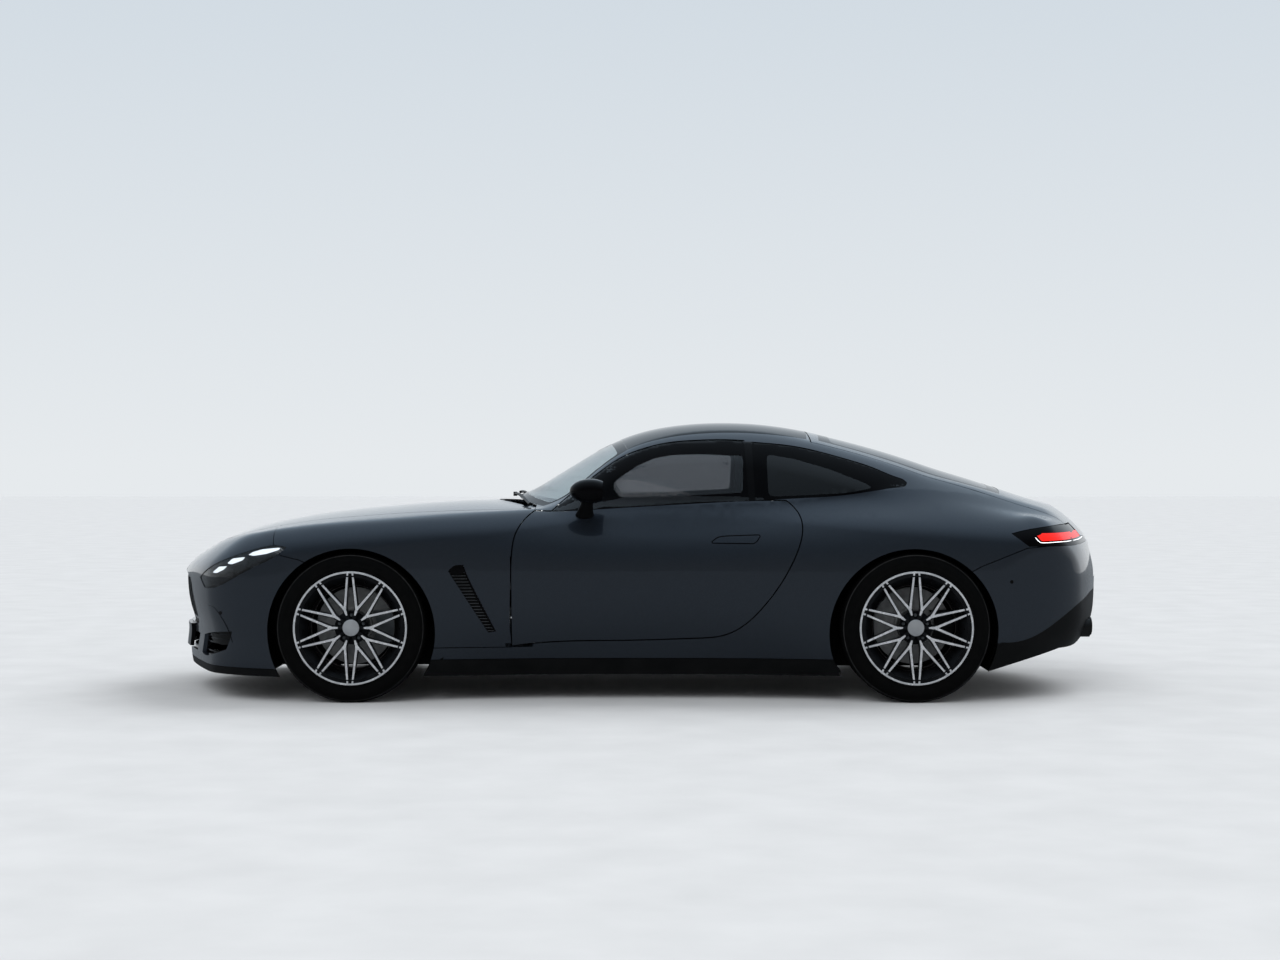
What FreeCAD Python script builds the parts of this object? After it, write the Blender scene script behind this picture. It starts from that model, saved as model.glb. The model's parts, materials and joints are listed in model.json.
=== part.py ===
# Coupe car, full size, built as an assembly of panels, glass, cabin, running gear and wheels.
# Millimetres. X runs from the nose to the tail, -Y is the car's left, Z is up.
# The origin lies on the ground under the middle of the overall length.

import FreeCAD, Part
import math
import os

V = FreeCAD.Vector
os.makedirs("parts", exist_ok=True)

# Driving dimensions
length = 4728.0
width = 1984.0
height = 1354.0
wheelbase = 2700.0
front_overhang = 982.0
ground_clearance = 120.0
tyre_radius = 357.0
rim_radius = 272.0
bead_radius = 254.0
tyre_width_front = 295.0
tyre_width_rear = 305.0
track_front = 1682.0
track_rear = 1683.0

# Walls and gaps
panel_wall = 18.0
glass_setback = 3.0
glass_wall = 5.0
pillar_depth = 42.0
door_depth = 112.0
panel_gap = 4.0
moving_gap = 6.0
post_gap = 12.0
seat_gap = 0.3
overrun = 60.0

half_width = width / 2
front_axle_x = -length / 2 + front_overhang
rear_axle_x = front_axle_x + wheelbase
axle_z = tyre_radius
front_wheel_y = track_front / 2
rear_wheel_y = track_rear / 2

# Centre lines of the body, as shares of length and height
bonnet_line_shares = [
    (-.53, .400), (-.50, .4560), (-.48, .500), (-.4655, .5266), (-.438, .5746), (-.4105, .6086), (-.3828, .6322),
    (-.3278, .6632), (-.2726, .6824), (-.2176, .6975), (-.16, .705), (-.05, .703), (.08, .70),
    (.2, .695), (.32, .688), (.40, .672), (.45, .652), (.485, .61), (.52, .55)]
roof_line_shares = [
    (-.25, .40), (-.18, .595), (-.129, .720), (-.0814, .8215), (-.0573, .873), (-.0237, .9325),
    (0, .962), (.0387, .989), (.0867, 1.0), (.1347, .9925), (.1779, .970), (.22, .9365),
    (.26, .899), (.3105, .8425), (.3615, .778), (.395, .735), (.425, .707), (.455, .690), (.5, .68)]
nose_line_shares = [
    (.08, -.492), (.15, -.4945), (.23, -.4930), (.31, -.4990), (.37, -.5018), (.41, -.5024),
    (.46, -.5014), (.51, -.495), (.57, -.486)]
tail_line_shares = [
    (.10, .462), (.17, .482), (.25, .4955), (.33, .4993), (.40, .500), (.443, .5), (.487, .498),
    (.554, .4917), (.606, .481), (.654, .4657), (.70, .448)]
# Plan width of the lower body, its lean above the waist and its tuck below, shares of half width
plan_shares = [
    (-.5, .90), (-.4, .960), (-.30, .999), (-.20, .975), (-.12, .945), (0, .932), (.10, .942),
    (.2, .982), (.28, 1.0), (.35, .988), (.42, .95), (.5, .87)]
lean_shares = [
    (-.5, .10), (-.38, .06), (-.29, .05), (-.2, .07), (-.1, .13), (.1, .15), (.2, .13),
    (.3, .10), (.4, .11), (.5, .12)]
tuck_shares = [
    (-.5, .04), (-.3, .008), (-.2, .03), (-.1, .05), (.12, .05), (.2, .03), (.28, .006),
    (.4, .05), (.5, .1)]
bonnet_crown_shares = [
    (-.5, .03), (-.28, .030), (-.12, .030), (-.05, .012), (.1, 0), (.3, .012), (.5, .02)]
# Side glass at the belt: its half width and its height, and the windscreen's bow in plan
belt_half_width_shares = [
    (-.2, .76), (-.09, .79), (0, .806), (.09, .81), (.17, .80), (.25, .762), (.3, .725),
    (.36, .67), (.42, .625), (.5, .58)]
belt_height_shares = [
    (-.2, .66), (-.09, .672), (.06, .70), (.17, .718), (.25, .75), (.35, .73), (.5, .65)]
bow_shares = [
    (-.25, .034), (-.13, .034), (-.08, .026), (-.02, .008), (.05, 0), (.2, -.008), (.5, -.012)]
# Rounding of the shoulder, the roof's edge and the join between them, shares of height
shoulder_round_shares = [
    (-.5, .045), (-.45, .063), (-.38, .089), (-.25, .089), (-.1, .06), (.1, .056), (.22, .081),
    (.33, .096), (.42, .08), (.5, .035)]
roof_round_shares = [
    (-.2, .045), (-.05, .045), (.05, .08), (.2, .089), (.4, .074), (.5, .045)]
join_round_shares = [
    (-.2, .045), (-.1, .052), (.1, .05), (.2, .06), (.27, .10), (.33, .15), (.39, .13),
    (.44, .05), (.47, .012), (.55, .01)]

waist_share = .458
lean_span = .244 * width / 1.467
roof_crown = .055 * height
roof_crown_span_share = .6
bonnet_crown_span_share = .8
bow_span_share = .75
nose_bow = .076 * length
tail_bow = .062 * length
bow_tip_share = .12
corner_bow = .03 * length
front_corner_round = 170.0
rear_corner_round = 190.0
tail_edge_round = 22.0
tumblehome_share = .5
tumblehome_bend_share = .39
side_steepness_share = .88
slope_step = length / 950

# Grid of rays that samples the skin
ray_origin_share = .345
ray_rise_share = .03
fan_rows = 9
body_rows = 44
body_ray_share = .41
upper_columns = 8
belt_columns = 6
flank_columns = 6
lower_columns = 7
bisections = 34
rail_angles = [(-.45, 44), (-.3, 40), (-.16, 40), (-.1, 46), (-.02, 53), (.08, 55), (.2, 54),
               (.28, 49), (.36, 43), (.45, 38)]
belt_angles = [(-.45, 27), (-.3, 27), (-.1, 29), (.08, 31), (.2, 33), (.28, 35), (.36, 33),
               (.45, 29)]


def spline(rows, x_scale, y_scale):
    """Natural cubic through rows of shares, straight beyond its ends."""
    xs = [r[0] * x_scale for r in rows]
    ys = [r[1] * y_scale for r in rows]
    n = len(xs)
    h = [xs[i + 1] - xs[i] for i in range(n - 1)]
    low, mid, top, rhs = [0] * n, [1] * n, [0] * n, [0] * n
    for i in range(1, n - 1):
        low[i] = h[i - 1]
        mid[i] = 2 * (h[i - 1] + h[i])
        top[i] = h[i]
        rhs[i] = 6 * ((ys[i + 1] - ys[i]) / h[i] - (ys[i] - ys[i - 1]) / h[i - 1])
    for i in range(1, n):
        k = low[i] / mid[i - 1]
        mid[i] -= k * top[i - 1]
        rhs[i] -= k * rhs[i - 1]
    m = [0] * n
    m[-1] = rhs[-1] / mid[-1]
    for i in range(n - 2, -1, -1):
        m[i] = (rhs[i] - top[i] * m[i + 1]) / mid[i]
    first = (ys[1] - ys[0]) / h[0] - h[0] * m[1] / 6 - h[0] * m[0] / 3
    last = (ys[-1] - ys[-2]) / h[-1] + h[-1] * m[-2] / 6 + h[-1] * m[-1] / 3

    def value(x):
        if x <= xs[0]:
            return ys[0] + first * (x - xs[0])
        if x >= xs[-1]:
            return ys[-1] + last * (x - xs[-1])
        i = 0
        while x > xs[i + 1]:
            i += 1
        a = (xs[i + 1] - x) / h[i]
        b = (x - xs[i]) / h[i]
        bend = (a ** 3 - a) * m[i] + (b ** 3 - b) * m[i + 1]
        return a * ys[i] + b * ys[i + 1] + bend * h[i] ** 2 / 6
    return value


bonnet_line = spline(bonnet_line_shares, length, height)
roof_line = spline(roof_line_shares, length, height)
nose_line = spline(nose_line_shares, height, length)
tail_line = spline(tail_line_shares, height, length)
plan = spline(plan_shares, length, half_width)
lean = spline(lean_shares, length, half_width)
tuck = spline(tuck_shares, length, half_width)
bonnet_crown = spline(bonnet_crown_shares, length, height)
belt_y = spline(belt_half_width_shares, length, half_width)
belt_z = spline(belt_height_shares, length, height)
bow = spline(bow_shares, length, length)
shoulder_round = spline(shoulder_round_shares, length, height)
roof_round = spline(roof_round_shares, length, height)
join_round = spline(join_round_shares, length, height)
rail_angle = spline(rail_angles, length, 1)
belt_angle = spline(belt_angles, length, 1)


def round_max(a, b, r):
    """Intersection of two level sets with a rounded edge of radius r."""
    u = max(a + r, 0)
    v = max(b + r, 0)
    if u > 0 or v > 0:
        return min(max(a, b), -r) + math.hypot(u, v)
    return max(a, b)


def round_min(a, b, r):
    """Union of two level sets with a filleted valley of radius r."""
    u = max(r - a, 0)
    v = max(r - b, 0)
    return max(min(a, b), r) - math.hypot(u, v)


def smooth_step(t):
    t = min(max(t, 0), 1)
    return t * t * (3 - 2 * t)


def end_bow(q, depth):
    """How far the nose or tail falls back at share q of the half width, and its slope."""
    root = math.hypot(q, bow_tip_share)
    fall = depth * (root - bow_tip_share) + corner_bow * q ** 6
    slope = (depth * q / root + 6 * corner_bow * q ** 5) / half_width
    return fall, math.hypot(1, slope)


def body_field(x, y, z):
    """About the distance outside the body's skin, negative inside."""
    y = abs(y)
    q = y / half_width
    rise = (z - waist_share * height) / lean_span
    narrow = (lean(x) if rise > 0 else tuck(x)) * rise * rise
    side = y - plan(x) + narrow
    fall, steep = end_bow(q, nose_bow)
    front = (nose_line(z) + fall - x) / steep
    fall, steep = end_bow(q, tail_bow)
    rear = (x - tail_line(z) + fall) / steep
    slope = (bonnet_line(x + slope_step) - bonnet_line(x - slope_step)) / (2 * slope_step)
    crown = bonnet_crown(x) * (q / bonnet_crown_span_share) ** 2
    top = (z - bonnet_line(x) + crown) / math.hypot(1, slope)
    lower = round_max(side, front, front_corner_round)
    lower = round_max(lower, top, shoulder_round(x))
    along = x - bow(x) * (q / bow_span_share) ** 2
    slope = (roof_line(along + slope_step) - roof_line(along - slope_step)) / (2 * slope_step)
    crown = roof_crown * (q / roof_crown_span_share) ** 2
    roof = (z - roof_line(along) + crown) / math.hypot(1, slope)
    up = max(z - belt_z(x), 0)
    inward = tumblehome_share * up + tumblehome_bend_share * up * up / height
    glass = (y - belt_y(x) + inward) * side_steepness_share
    upper = round_max(roof, glass, roof_round(x))
    whole = round_min(lower, upper, join_round(x))
    corner = smooth_step((.66 - z / height) / .22)
    rear_round = tail_edge_round + (rear_corner_round - tail_edge_round) * corner
    return round_max(whole, rear, rear_round)


def wall_depth(x, z):
    """Thickness of the cabin's walls: thin pillars and roof, thick doors and sills."""
    below = smooth_step((belt_z(x) + .02 * height - z) / (.10 * height))
    ahead = smooth_step((.43 - x / length) / .06)
    return pillar_depth + (door_depth - pillar_depth) * below * ahead


def skin_level(depth):
    return lambda x, y, z: body_field(x, y, z) + depth


def cabin_level(x, y, z):
    return body_field(x, y, z) + wall_depth(x, z)


def strike(field, origin, way):
    """Where a ray leaves the body."""
    a, b = 0, .55 * length
    for _ in range(bisections):
        m = (a + b) / 2
        if field(origin[0] + way[0] * m, origin[1] + way[1] * m, origin[2] + way[2] * m) < 0:
            a = m
        else:
            b = m
    return V(origin[0] + way[0] * a, origin[1] + way[1] * a, origin[2] + way[2] * a)


def ray_rows(field, bottom):
    """Rows of skin points from the nose's middle round to the tail's middle, left side."""
    base = ray_origin_share * height
    fan = [math.pi / 2 * k / fan_rows for k in range(fan_rows)]
    rows = [(-1, a, -body_ray_share * length) for a in fan]
    step = 2 * body_ray_share / body_rows
    rows += [(0, 0, (-body_ray_share + step * k) * length) for k in range(body_rows + 1)]
    rows += [(1, a, body_ray_share * length) for a in reversed(fan)]
    columns = upper_columns + belt_columns + flank_columns
    result = []
    for end, a, x in rows:
        rail, belt = rail_angle(x), belt_angle(x)
        turns = [90 - (90 - rail) * k / upper_columns for k in range(upper_columns)]
        turns += [rail - (rail - belt) * k / belt_columns for k in range(belt_columns)]
        turns += [belt - belt * k / flank_columns for k in range(flank_columns + 1)]
        row = []
        for j, t in enumerate(turns):
            across = -math.cos(math.radians(t))
            up = math.sin(math.radians(t))
            if end == 0:
                row.append(strike(field, (x, 0, base), (0, across, up)))
                continue
            lift = ray_rise_share * height * (1 - j / columns) * math.cos(a)
            way = (end * math.cos(a), math.sin(a) * across, math.sin(a) * up)
            row.append(strike(field, (x, 0, base + lift), way))
        for j in range(1, lower_columns + 1):
            z = base + (bottom - base) * j / lower_columns
            way = (0, -1, 0) if end == 0 else (end * math.cos(a), -math.sin(a), 0)
            row.append(strike(field, (x, 0, z), way))
        result.append(row)
    return result


def control_values(values, first, last):
    """Control values of a uniform cubic through values, its ends mirrored: 1 even, -1 odd."""
    n = len(values)
    low, mid, top = [1] * n, [4] * n, [1] * n
    rhs = [6 * v for v in values]
    top[0] = 1 + first if first else 0
    mid[0] = 4 if first else 6
    low[-1] = 1 + last if last else 0
    mid[-1] = 4 if last else 6
    for i in range(1, n):
        k = low[i] / mid[i - 1]
        mid[i] -= k * top[i - 1]
        rhs[i] -= k * rhs[i - 1]
    p = [0] * n
    p[-1] = rhs[-1] / mid[-1]
    for i in range(n - 2, -1, -1):
        p[i] = (rhs[i] - top[i] * p[i + 1]) / mid[i]
    before = first * p[1] if first else 2 * p[0] - p[1]
    after = last * p[-2] if last else 2 * p[-1] - p[-2]
    return [before] + p + [after]


def skin_surface(rows):
    """Cubic surface through the rows, smooth across the car's middle plane."""
    n, m = len(rows), len(rows[0])
    axes = []
    for c in range(3):
        sign = -1 if c == 1 else 1
        down = [control_values([rows[i][j][c] for i in range(n)], sign, sign) for j in range(m)]
        axes.append([control_values([down[j][i] for j in range(m)], sign, 0) for i in range(n + 2)])
    poles = [[V(axes[0][i][j], axes[1][i][j], axes[2][i][j]) for j in range(m + 2)]
             for i in range(n + 2)]
    surface = Part.BSplineSurface()
    knots_u = [float(k - 3) for k in range(n + 6)]
    knots_v = [float(k - 3) for k in range(m + 6)]
    surface.buildFromPolesMultsKnots(
        poles, [1] * (n + 6), [1] * (m + 6), knots_u, knots_v, False, False, 3, 3)
    surface.segment(0, n - 1, 0, m - 1)
    return surface


def half_body(field, bottom):
    """Left half of the body inside a level, closed at the middle plane and the bottom."""
    rows = ray_rows(field, bottom)
    surface = skin_surface(rows)
    n, m = len(rows) - 1, len(rows[0]) - 1
    base = Part.LineSegment(rows[0][m], rows[n][m]).toShape()
    ends = [surface.vIso(0).toShape(), surface.uIso(0).toShape(), surface.uIso(n).toShape(), base]
    middle = Part.Face(Part.Wire(Part.__sortEdges__(ends)))
    floor = Part.Face(Part.Wire([surface.vIso(m).toShape(), base]))
    solid = Part.makeSolid(Part.makeShell([surface.toShape(), middle, floor]))
    if solid.Volume < 0:
        solid.reverse()
    return solid


# Shapes that cut and join


def curve(points):
    """Edge through points: a line through two, a smooth curve through more."""
    if len(points) == 2:
        return Part.LineSegment(points[0], points[1]).toShape()
    line = Part.BSplineCurve()
    line.interpolate(points)
    return line.toShape()


def loop(runs, place):
    """Closed face from runs of shares, each run starting where the last one ended."""
    edges = []
    start = place(runs[0][0])
    last = start
    for i, run in enumerate(runs):
        points = [place(p) for p in run]
        if i > 0:
            points = [last] + points
        edges.append(curve(points))
        last = points[-1]
    if last.distanceToPoint(start) > seat_gap / 100:
        edges.append(curve([last, start]))
    return Part.Face(Part.Wire(edges))


def side_point(p):
    return V(p[0] * length, 0, p[1] * height)


def top_point(p):
    return V(p[0] * length, -p[1] * half_width, 0)


def front_point(p):
    return V(0, -p[0] * half_width, p[1] * height)


offset_points = 24


def grown(face, gap):
    """Outline moved outwards by a gap, its curves written as plain splines again."""
    if not gap:
        return face
    edges = []
    for edge in face.makeOffset2D(gap).OuterWire.OrderedEdges:
        if edge.Curve.TypeId == "Part::GeomOffsetCurve":
            line = Part.BSplineCurve()
            line.interpolate(edge.discretize(offset_points))
            edge = line.toShape()
        edges.append(edge)
    return Part.Face(Part.Wire(edges))


def side_prism(runs, gap=0, inner=0):
    """Block with a side-view outline, on the left from outside the body to inner."""
    face = grown(loop(runs, side_point), gap)
    face.translate(V(0, -half_width - overrun, 0))
    return face.extrude(V(0, half_width + overrun - inner, 0))


def top_prism(runs, low, high, gap=0):
    face = grown(loop(runs, top_point), gap)
    face.translate(V(0, 0, low))
    return face.extrude(V(0, 0, high - low))


def front_prism(runs, rear, front, gap=0):
    face = grown(loop(runs, front_point), gap)
    face.translate(V(front, 0, 0))
    return face.extrude(V(rear - front, 0, 0))


def box(x0, x1, y0, y1, z0, z1):
    return Part.makeBox(x1 - x0, y1 - y0, z1 - z0, V(x0, y0, z0))


def mirrored(shape):
    return shape.mirror(V(0, 0, 0), V(0, 1, 0))


def pair(shape):
    """A left solid and its right-hand twin."""
    return Part.makeCompound(shape.Solids + mirrored(shape).Solids)


def across(shape):
    """A left half joined to its right half."""
    return shape.fuse(mirrored(shape)).removeSplitter()


def lying(radius, x, z, y0, y1):
    """Cylinder across the car."""
    return Part.makeCylinder(radius, y1 - y0, V(x, y0, z), V(0, 1, 0))


# Door hinge line: behind the door's front edge and inside its skin
door_hinge_x = -.1303 * length + 40.0
door_hinge_y = 920.0
door_sweep_radius = 50.0
door_foot_radius = 76.0
door_rear_gap = 2.0

# Outlines in side view, runs of shares of length and height
door_shares = [
    [(-.1077, .6736), (-.1184, .6388), (-.1261, .5931), (-.1294, .5318), (-.1303, .43), (-.1303, .33)],
    [(-.1299, .1979)],
    [(-.0085, .2171), (.0573, .2245), (.0859, .2363), (.1079, .2784), (.1233, .3323), (.1385, .401),
     (.1516, .4778), (.1605, .5473), (.1646, .6086), (.1629, .6544), (.1563, .6891), (.1495, .7097)],
    [(.1229, .7095), (.0581, .7002), (-.0086, .6869), (-.0532, .6769), (-.0909, .6711), (-.1077, .6736)]]
side_glass_shares = [
    [(-.0909, .6711), (-.0669, .7444), (-.0403, .8145), (-.0223, .858), (.0048, .8974), (.032, .9189),
     (.0591, .9266), (.0931, .9284), (.1085, .9255)],
    [(.1115, .7082)],
    [(.0581, .7002), (-.0086, .6869), (-.0532, .6769), (-.0909, .6711)]]
quarter_glass_shares = [
    [(.1165, .924), (.1271, .9211), (.161, .9085), (.1967, .8800), (.2204, .8562), (.2438, .8286),
     (.2669, .7953), (.2742, .7850), (.2772, .7745)],
    [(.2758, .7645), (.2700, .7580)],
    [(.2559, .7530), (.2176, .7330), (.17, .7200), (.1185, .7110)],
    [(.1165, .924)]]
front_bumper_shares = [
    [(-.56, .118), (-.56, .70)],
    [(-.374, .70)],
    [(-.3723, .5613)],
    [(-.3638, .5185)],
    [(-.3448, .503)],
    [(-.30, .44)],
    [(-.30, .118)],
    [(-.56, .118)]]
fender_shares = [
    [(-.374, .75), (-.374, .561)],
    [(-.3638, .5185)],
    [(-.3448, .503)],
    [(-.30, .44)],
    [(-.30, .19)],
    [(-.1299, .19)],
    [(-.1303, .33)],
    [(-.1303, .43), (-.1294, .5318), (-.1261, .5931), (-.1184, .6388), (-.1077, .6736)],
    [(-.1077, .72)],
    [(-.1400, .75)],
    [(-.374, .75)]]
headlamp_shares = [
    [(-.3574, .548), (-.372, .5539), (-.3945, .5362), (-.4198, .5074), (-.4484, .4579), (-.4575, .4313)],
    [(-.4499, .3973)],
    [(-.4361, .3996), (-.4114, .4402), (-.3875, .4823), (-.368, .517), (-.3574, .548)]]
tail_lamp_shares = [
    [(.3765, .596), (.4019, .6145), (.4545, .6241), (.4928, .6189)],
    [(.52, .60)],
    [(.52, .556)],
    [(.4657, .5502), (.394, .5502)],
    [(.3765, .596)]]
body_side_shares = [
    [(-.30, .150), (-.30, .19)],
    [(-.1303, .19)],
    [(-.1299, .33)],
    [(-.1077, .676)],
    [(-.1077, .72)],
    [(-.1500, .76)],
    [(-.1500, 1.05)],
    [(.56, 1.05)],
    [(.56, .59)],
    [(.3919, .5458)],
    [(.3454, .4838)],
    [(.30, .40)],
    [(.30, .150)],
    [(-.30, .150)]]
hinge_post_shares = [
    [(-.160, .150), (-.160, .66)],
    [(-.150, .73)],
    [(-.10, .73)],
    [(-.10, .150)],
    [(-.160, .150)]]
rear_bumper_shares = [
    [(.30, .13), (.30, .40)],
    [(.3454, .4838)],
    [(.3919, .5458)],
    [(.56, .59)],
    [(.56, .13)],
    [(.30, .13)]]
diffuser_shares = [
    [(.330, .18), (.3669, .2118)],
    [(.4175, .2615), (.4454, .326), (.4776, .3708)],
    [(.56, .385)],
    [(.56, .10)],
    [(.330, .10)],
    [(.330, .18)]]
tail_kick_shares = [
    [(.330, .05), (.345, .100)],
    [(.375, .128)],
    [(.432, .180)],
    [(.56, .185)],
    [(.56, .05)],
    [(.330, .05)]]
skirt_shares = [
    [(-.226, .148), (.206, .148)],
    [(.206, .090)],
    [(-.226, .090)],
    [(-.226, .148)]]
splitter_shares = [
    [(-.56, .1163), (-.36, .1163)],
    [(-.36, .0900)],
    [(-.56, .0900)],
    [(-.56, .1163)]]
vent_shares = [
    [(-.1940, .4650), (-.1787, .4873)],
    [(-.1745, .4467)],
    [(-.1460, .249)],
    [(-.1539, .2454)],
    [(-.1940, .4650)]]

# Outlines from above, shares of length and half width, left half
bonnet_shares = [
    [(-.4660, -.02), (-.4620, .20), (-.4480, .42), (-.4260, .585)],
    [(-.4060, .640), (-.3750, .672), (-.30, .700), (-.20, .715), (-.121, .722)],
    [(-.1215, .60), (-.135, .42), (-.150, .20), (-.1545, -.02)],
    [(-.4660, -.02)]]
windscreen_shares = [
    [(-.1325, -.02), (-.1290, .25), (-.1180, .48), (-.1005, .695)],
    [(-.070, .655), (-.040, .612), (-.013, .560)],
    [(-.0185, .30), (-.0215, -.02)],
    [(-.1325, -.02)]]
roof_shares = [
    [(-.0213, -.02), (-.0183, .30), (-.0128, .5585)],
    [(.02, .530), (.06, .512), (.10, .503), (.145, .498), (.1760, .485)],
    [(.1785, .30), (.1790, -.02)],
    [(-.0213, -.02)]]
tailgate_shares = [
    [(.1808, -.02), (.1808, .52)],
    [(.24, .545), (.32, .585), (.40, .615), (.46, .60), (.52, .58)],
    [(.52, -.02)],
    [(.1808, -.02)]]
rear_glass_shares = [
    [(.1930, -.02), (.1920, .25), (.1895, .455)],
    [(.26, .485), (.33, .515), (.3790, .515)],
    [(.3860, .25), (.3870, -.02)],
    [(.1930, -.02)]]
scuttle_shares = [
    [(-.168, -.02), (-.165, .30), (-.148, .68)],
    [(-.105, .70)],
    [(-.118, .45), (-.128, .25), (-.1300, -.02)],
    [(-.168, -.02)]]
tray_shares = [
    [(-.168, -.02), (-.165, .30), (-.153, .575)],
    [(-.1105, .575)],
    [(-.118, .45), (-.128, .25), (-.1300, -.02)],
    [(-.168, -.02)]]

# Openings seen from the front, shares of half width and height
grille_shares = [
    [(-.02, .440), (.22, .437), (.40, .425)],
    [(.475, .36), (.490, .318)],
    [(.455, .262), (.41, .2500)],
    [(-.02, .2500)],
    [(-.02, .440)]]
lower_intake_shares = [
    [(-.02, .220), (.44, .216)],
    [(.40, .150)],
    [(-.02, .146)],
    [(-.02, .220)]]
side_intake_shares = [
    [(.56, .218), (.70, .232), (.86, .245)],
    [(.83, .178)],
    [(.70, .150), (.54, .150)],
    [(.56, .218)]]

# Wheel arches
front_arch_radius = 402.0
front_arch_drop = 22.0
rear_arch_radius = 404.0
rear_arch_drop = 26.0
rear_arch_shift = 8.0
front_liner_radius = 458.0
rear_liner_radius = 412.0
liner_wall = 5.0
arch_lip = 70.0
front_liner_y = 484.0
rear_liner_y = 545.0

outer = half_body(skin_level(0), ground_clearance)
glass_out = half_body(skin_level(glass_setback), ground_clearance)
glass_in = half_body(skin_level(glass_setback + glass_wall), ground_clearance)
inner = half_body(skin_level(panel_wall), ground_clearance)
cabin = half_body(cabin_level, ground_clearance + panel_wall)
thin_wall = outer.cut(inner)
thick_wall = outer.cut(cabin)
glass_shell = glass_out.cut(glass_in)

arch_y = half_width + overrun
front_arch = lying(front_arch_radius, front_axle_x, axle_z - front_arch_drop, -arch_y, -front_liner_y)
rear_arch = lying(rear_arch_radius, rear_axle_x - rear_arch_shift, axle_z - rear_arch_drop,
                  -arch_y, -rear_liner_y)
liner_room = lying(front_liner_radius + liner_wall + seat_gap, front_axle_x, axle_z,
                   -half_width + arch_lip, -front_liner_y)
bonnet_low = .38 * height
gate_low = .625 * height
gate_middle_low = .575 * height
gate_middle_half = .40 * half_width
sky = height + overrun


def bonnet_block(gap):
    return top_prism(bonnet_shares, bonnet_low - gap, sky, gap)


def gate_block(gap):
    upper = top_prism(tailgate_shares, gate_low - gap, sky, gap)
    middle = box(.44 * length, length, -gate_middle_half - gap, 0, gate_middle_low - gap, gate_low)
    return upper.fuse(middle)


def make_bonnet():
    panel = thin_wall.common(bonnet_block(0))
    arm = bonnet_arm()
    return across(panel.fuse(arm.cut(glass_out.cut(inner))))


def nose_openings(gap):
    """Grille and intakes cut through the front bumper."""
    back, front = -.40 * length, -.55 * length
    cut = front_prism(grille_shares, back, front, gap)
    cut = cut.fuse(front_prism(lower_intake_shares, back, front, gap))
    return cut.fuse(front_prism(side_intake_shares, back, front, gap))


def make_front_bumper():
    shape = thin_wall.common(side_prism(front_bumper_shares))
    for cutter in [bonnet_block(moving_gap), side_prism(headlamp_shares, seat_gap),
                   front_arch, nose_openings(0)]:
        shape = shape.cut(cutter)
    return across(shape)


plate_half_width = 262.0
carrier_wall = 20.0
bar_count = 15
bar_width = 11.0
bar_depth = 34.0
vane_count = 3
vane_height = 7.0


def make_grille():
    """Upright bars behind the nose, tied by two rails, and vanes in the lower intakes."""
    sheet = inner.cut(inner.translated(V(bar_depth, 0, 0)))
    opening = front_prism(grille_shares, -.40 * length, -.55 * length, -seat_gap)
    half_span = .49 * half_width
    pitch = 2 * half_span / (bar_count + 1)
    low, high = .24 * height, .45 * height
    bars = []
    for i in range((bar_count + 1) // 2):
        y = -pitch * i
        bars.append(box(-length, 0, y - bar_width / 2, y + bar_width / 2, low, high))
    rail = .262 * height
    bars.append(box(-length, 0, -half_width, 0, rail, rail + bar_width))
    rail = .415 * height
    bars.append(box(-length, 0, -half_width, 0, rail, rail + bar_width))
    shape = bars[0].multiFuse(bars[1:]).common(opening).common(sheet)
    grid = across(shape.cut(box(-length, 0, 0, half_width, 0, height)))
    vanes = []
    for runs, low, high in [(lower_intake_shares, .146, .220), (side_intake_shares, .150, .245)]:
        frame = front_prism(runs, -.40 * length, -.55 * length, -seat_gap)
        hole = front_prism(runs, -.40 * length, -.55 * length, -bar_width)
        bands = []
        for k in range(vane_count):
            z = (low + (high - low) * (k + .5) / vane_count) * height
            bands.append(box(-length, 0, -half_width, 0, z - vane_height / 2, z + vane_height / 2))
        body = frame.cut(hole).fuse(bands[0].multiFuse(bands[1:]).common(frame)).common(sheet)
        vanes.append(body)
    carrier = box(-length, -.42 * length, -plate_half_width, 0, .158 * height, .242 * height)
    carrier = carrier.common(outer.translated(V(-carrier_wall, 0, 0)))
    carrier = carrier.cut(outer.translated(V(-seat_gap, 0, 0)))
    return Part.makeCompound(grid.Solids + across(vanes[0]).Solids + pair(vanes[1]).Solids
                             + across(carrier).Solids)


def door_block(sweep_top):
    """Room for a door at rest and for its front edge as it swings."""
    room = side_prism(door_shares, moving_gap)
    room = room.fuse(room.translated(V(door_rear_gap, 0, 0)))
    low = .195 * height
    sweep = Part.makeCylinder(door_sweep_radius, sweep_top - low, V(door_hinge_x, -door_hinge_y, low))
    low = .1915 * height
    foot = Part.makeCylinder(door_foot_radius, .0145 * height, V(door_hinge_x, -door_hinge_y, low))
    return room.fuse(sweep).fuse(foot)


def vent_block(gap):
    return side_prism(vent_shares, gap, half_width - 2 * door_depth)


def make_front_fenders():
    shape = thin_wall.common(side_prism(fender_shares))
    door = door_block(.515 * height)
    sill = side_prism(body_side_shares, panel_gap)
    for cutter in [bonnet_block(moving_gap), side_prism(headlamp_shares, seat_gap), front_arch,
                   door, sill, side_prism(front_bumper_shares, panel_gap), vent_block(0),
                   top_prism(scuttle_shares, height / 2, sky, seat_gap),
                   top_prism(windscreen_shares, height / 2, sky, seat_gap)]:
        shape = shape.cut(cutter)
    return pair(max(shape.Solids, key=lambda s: s.Volume))


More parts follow.
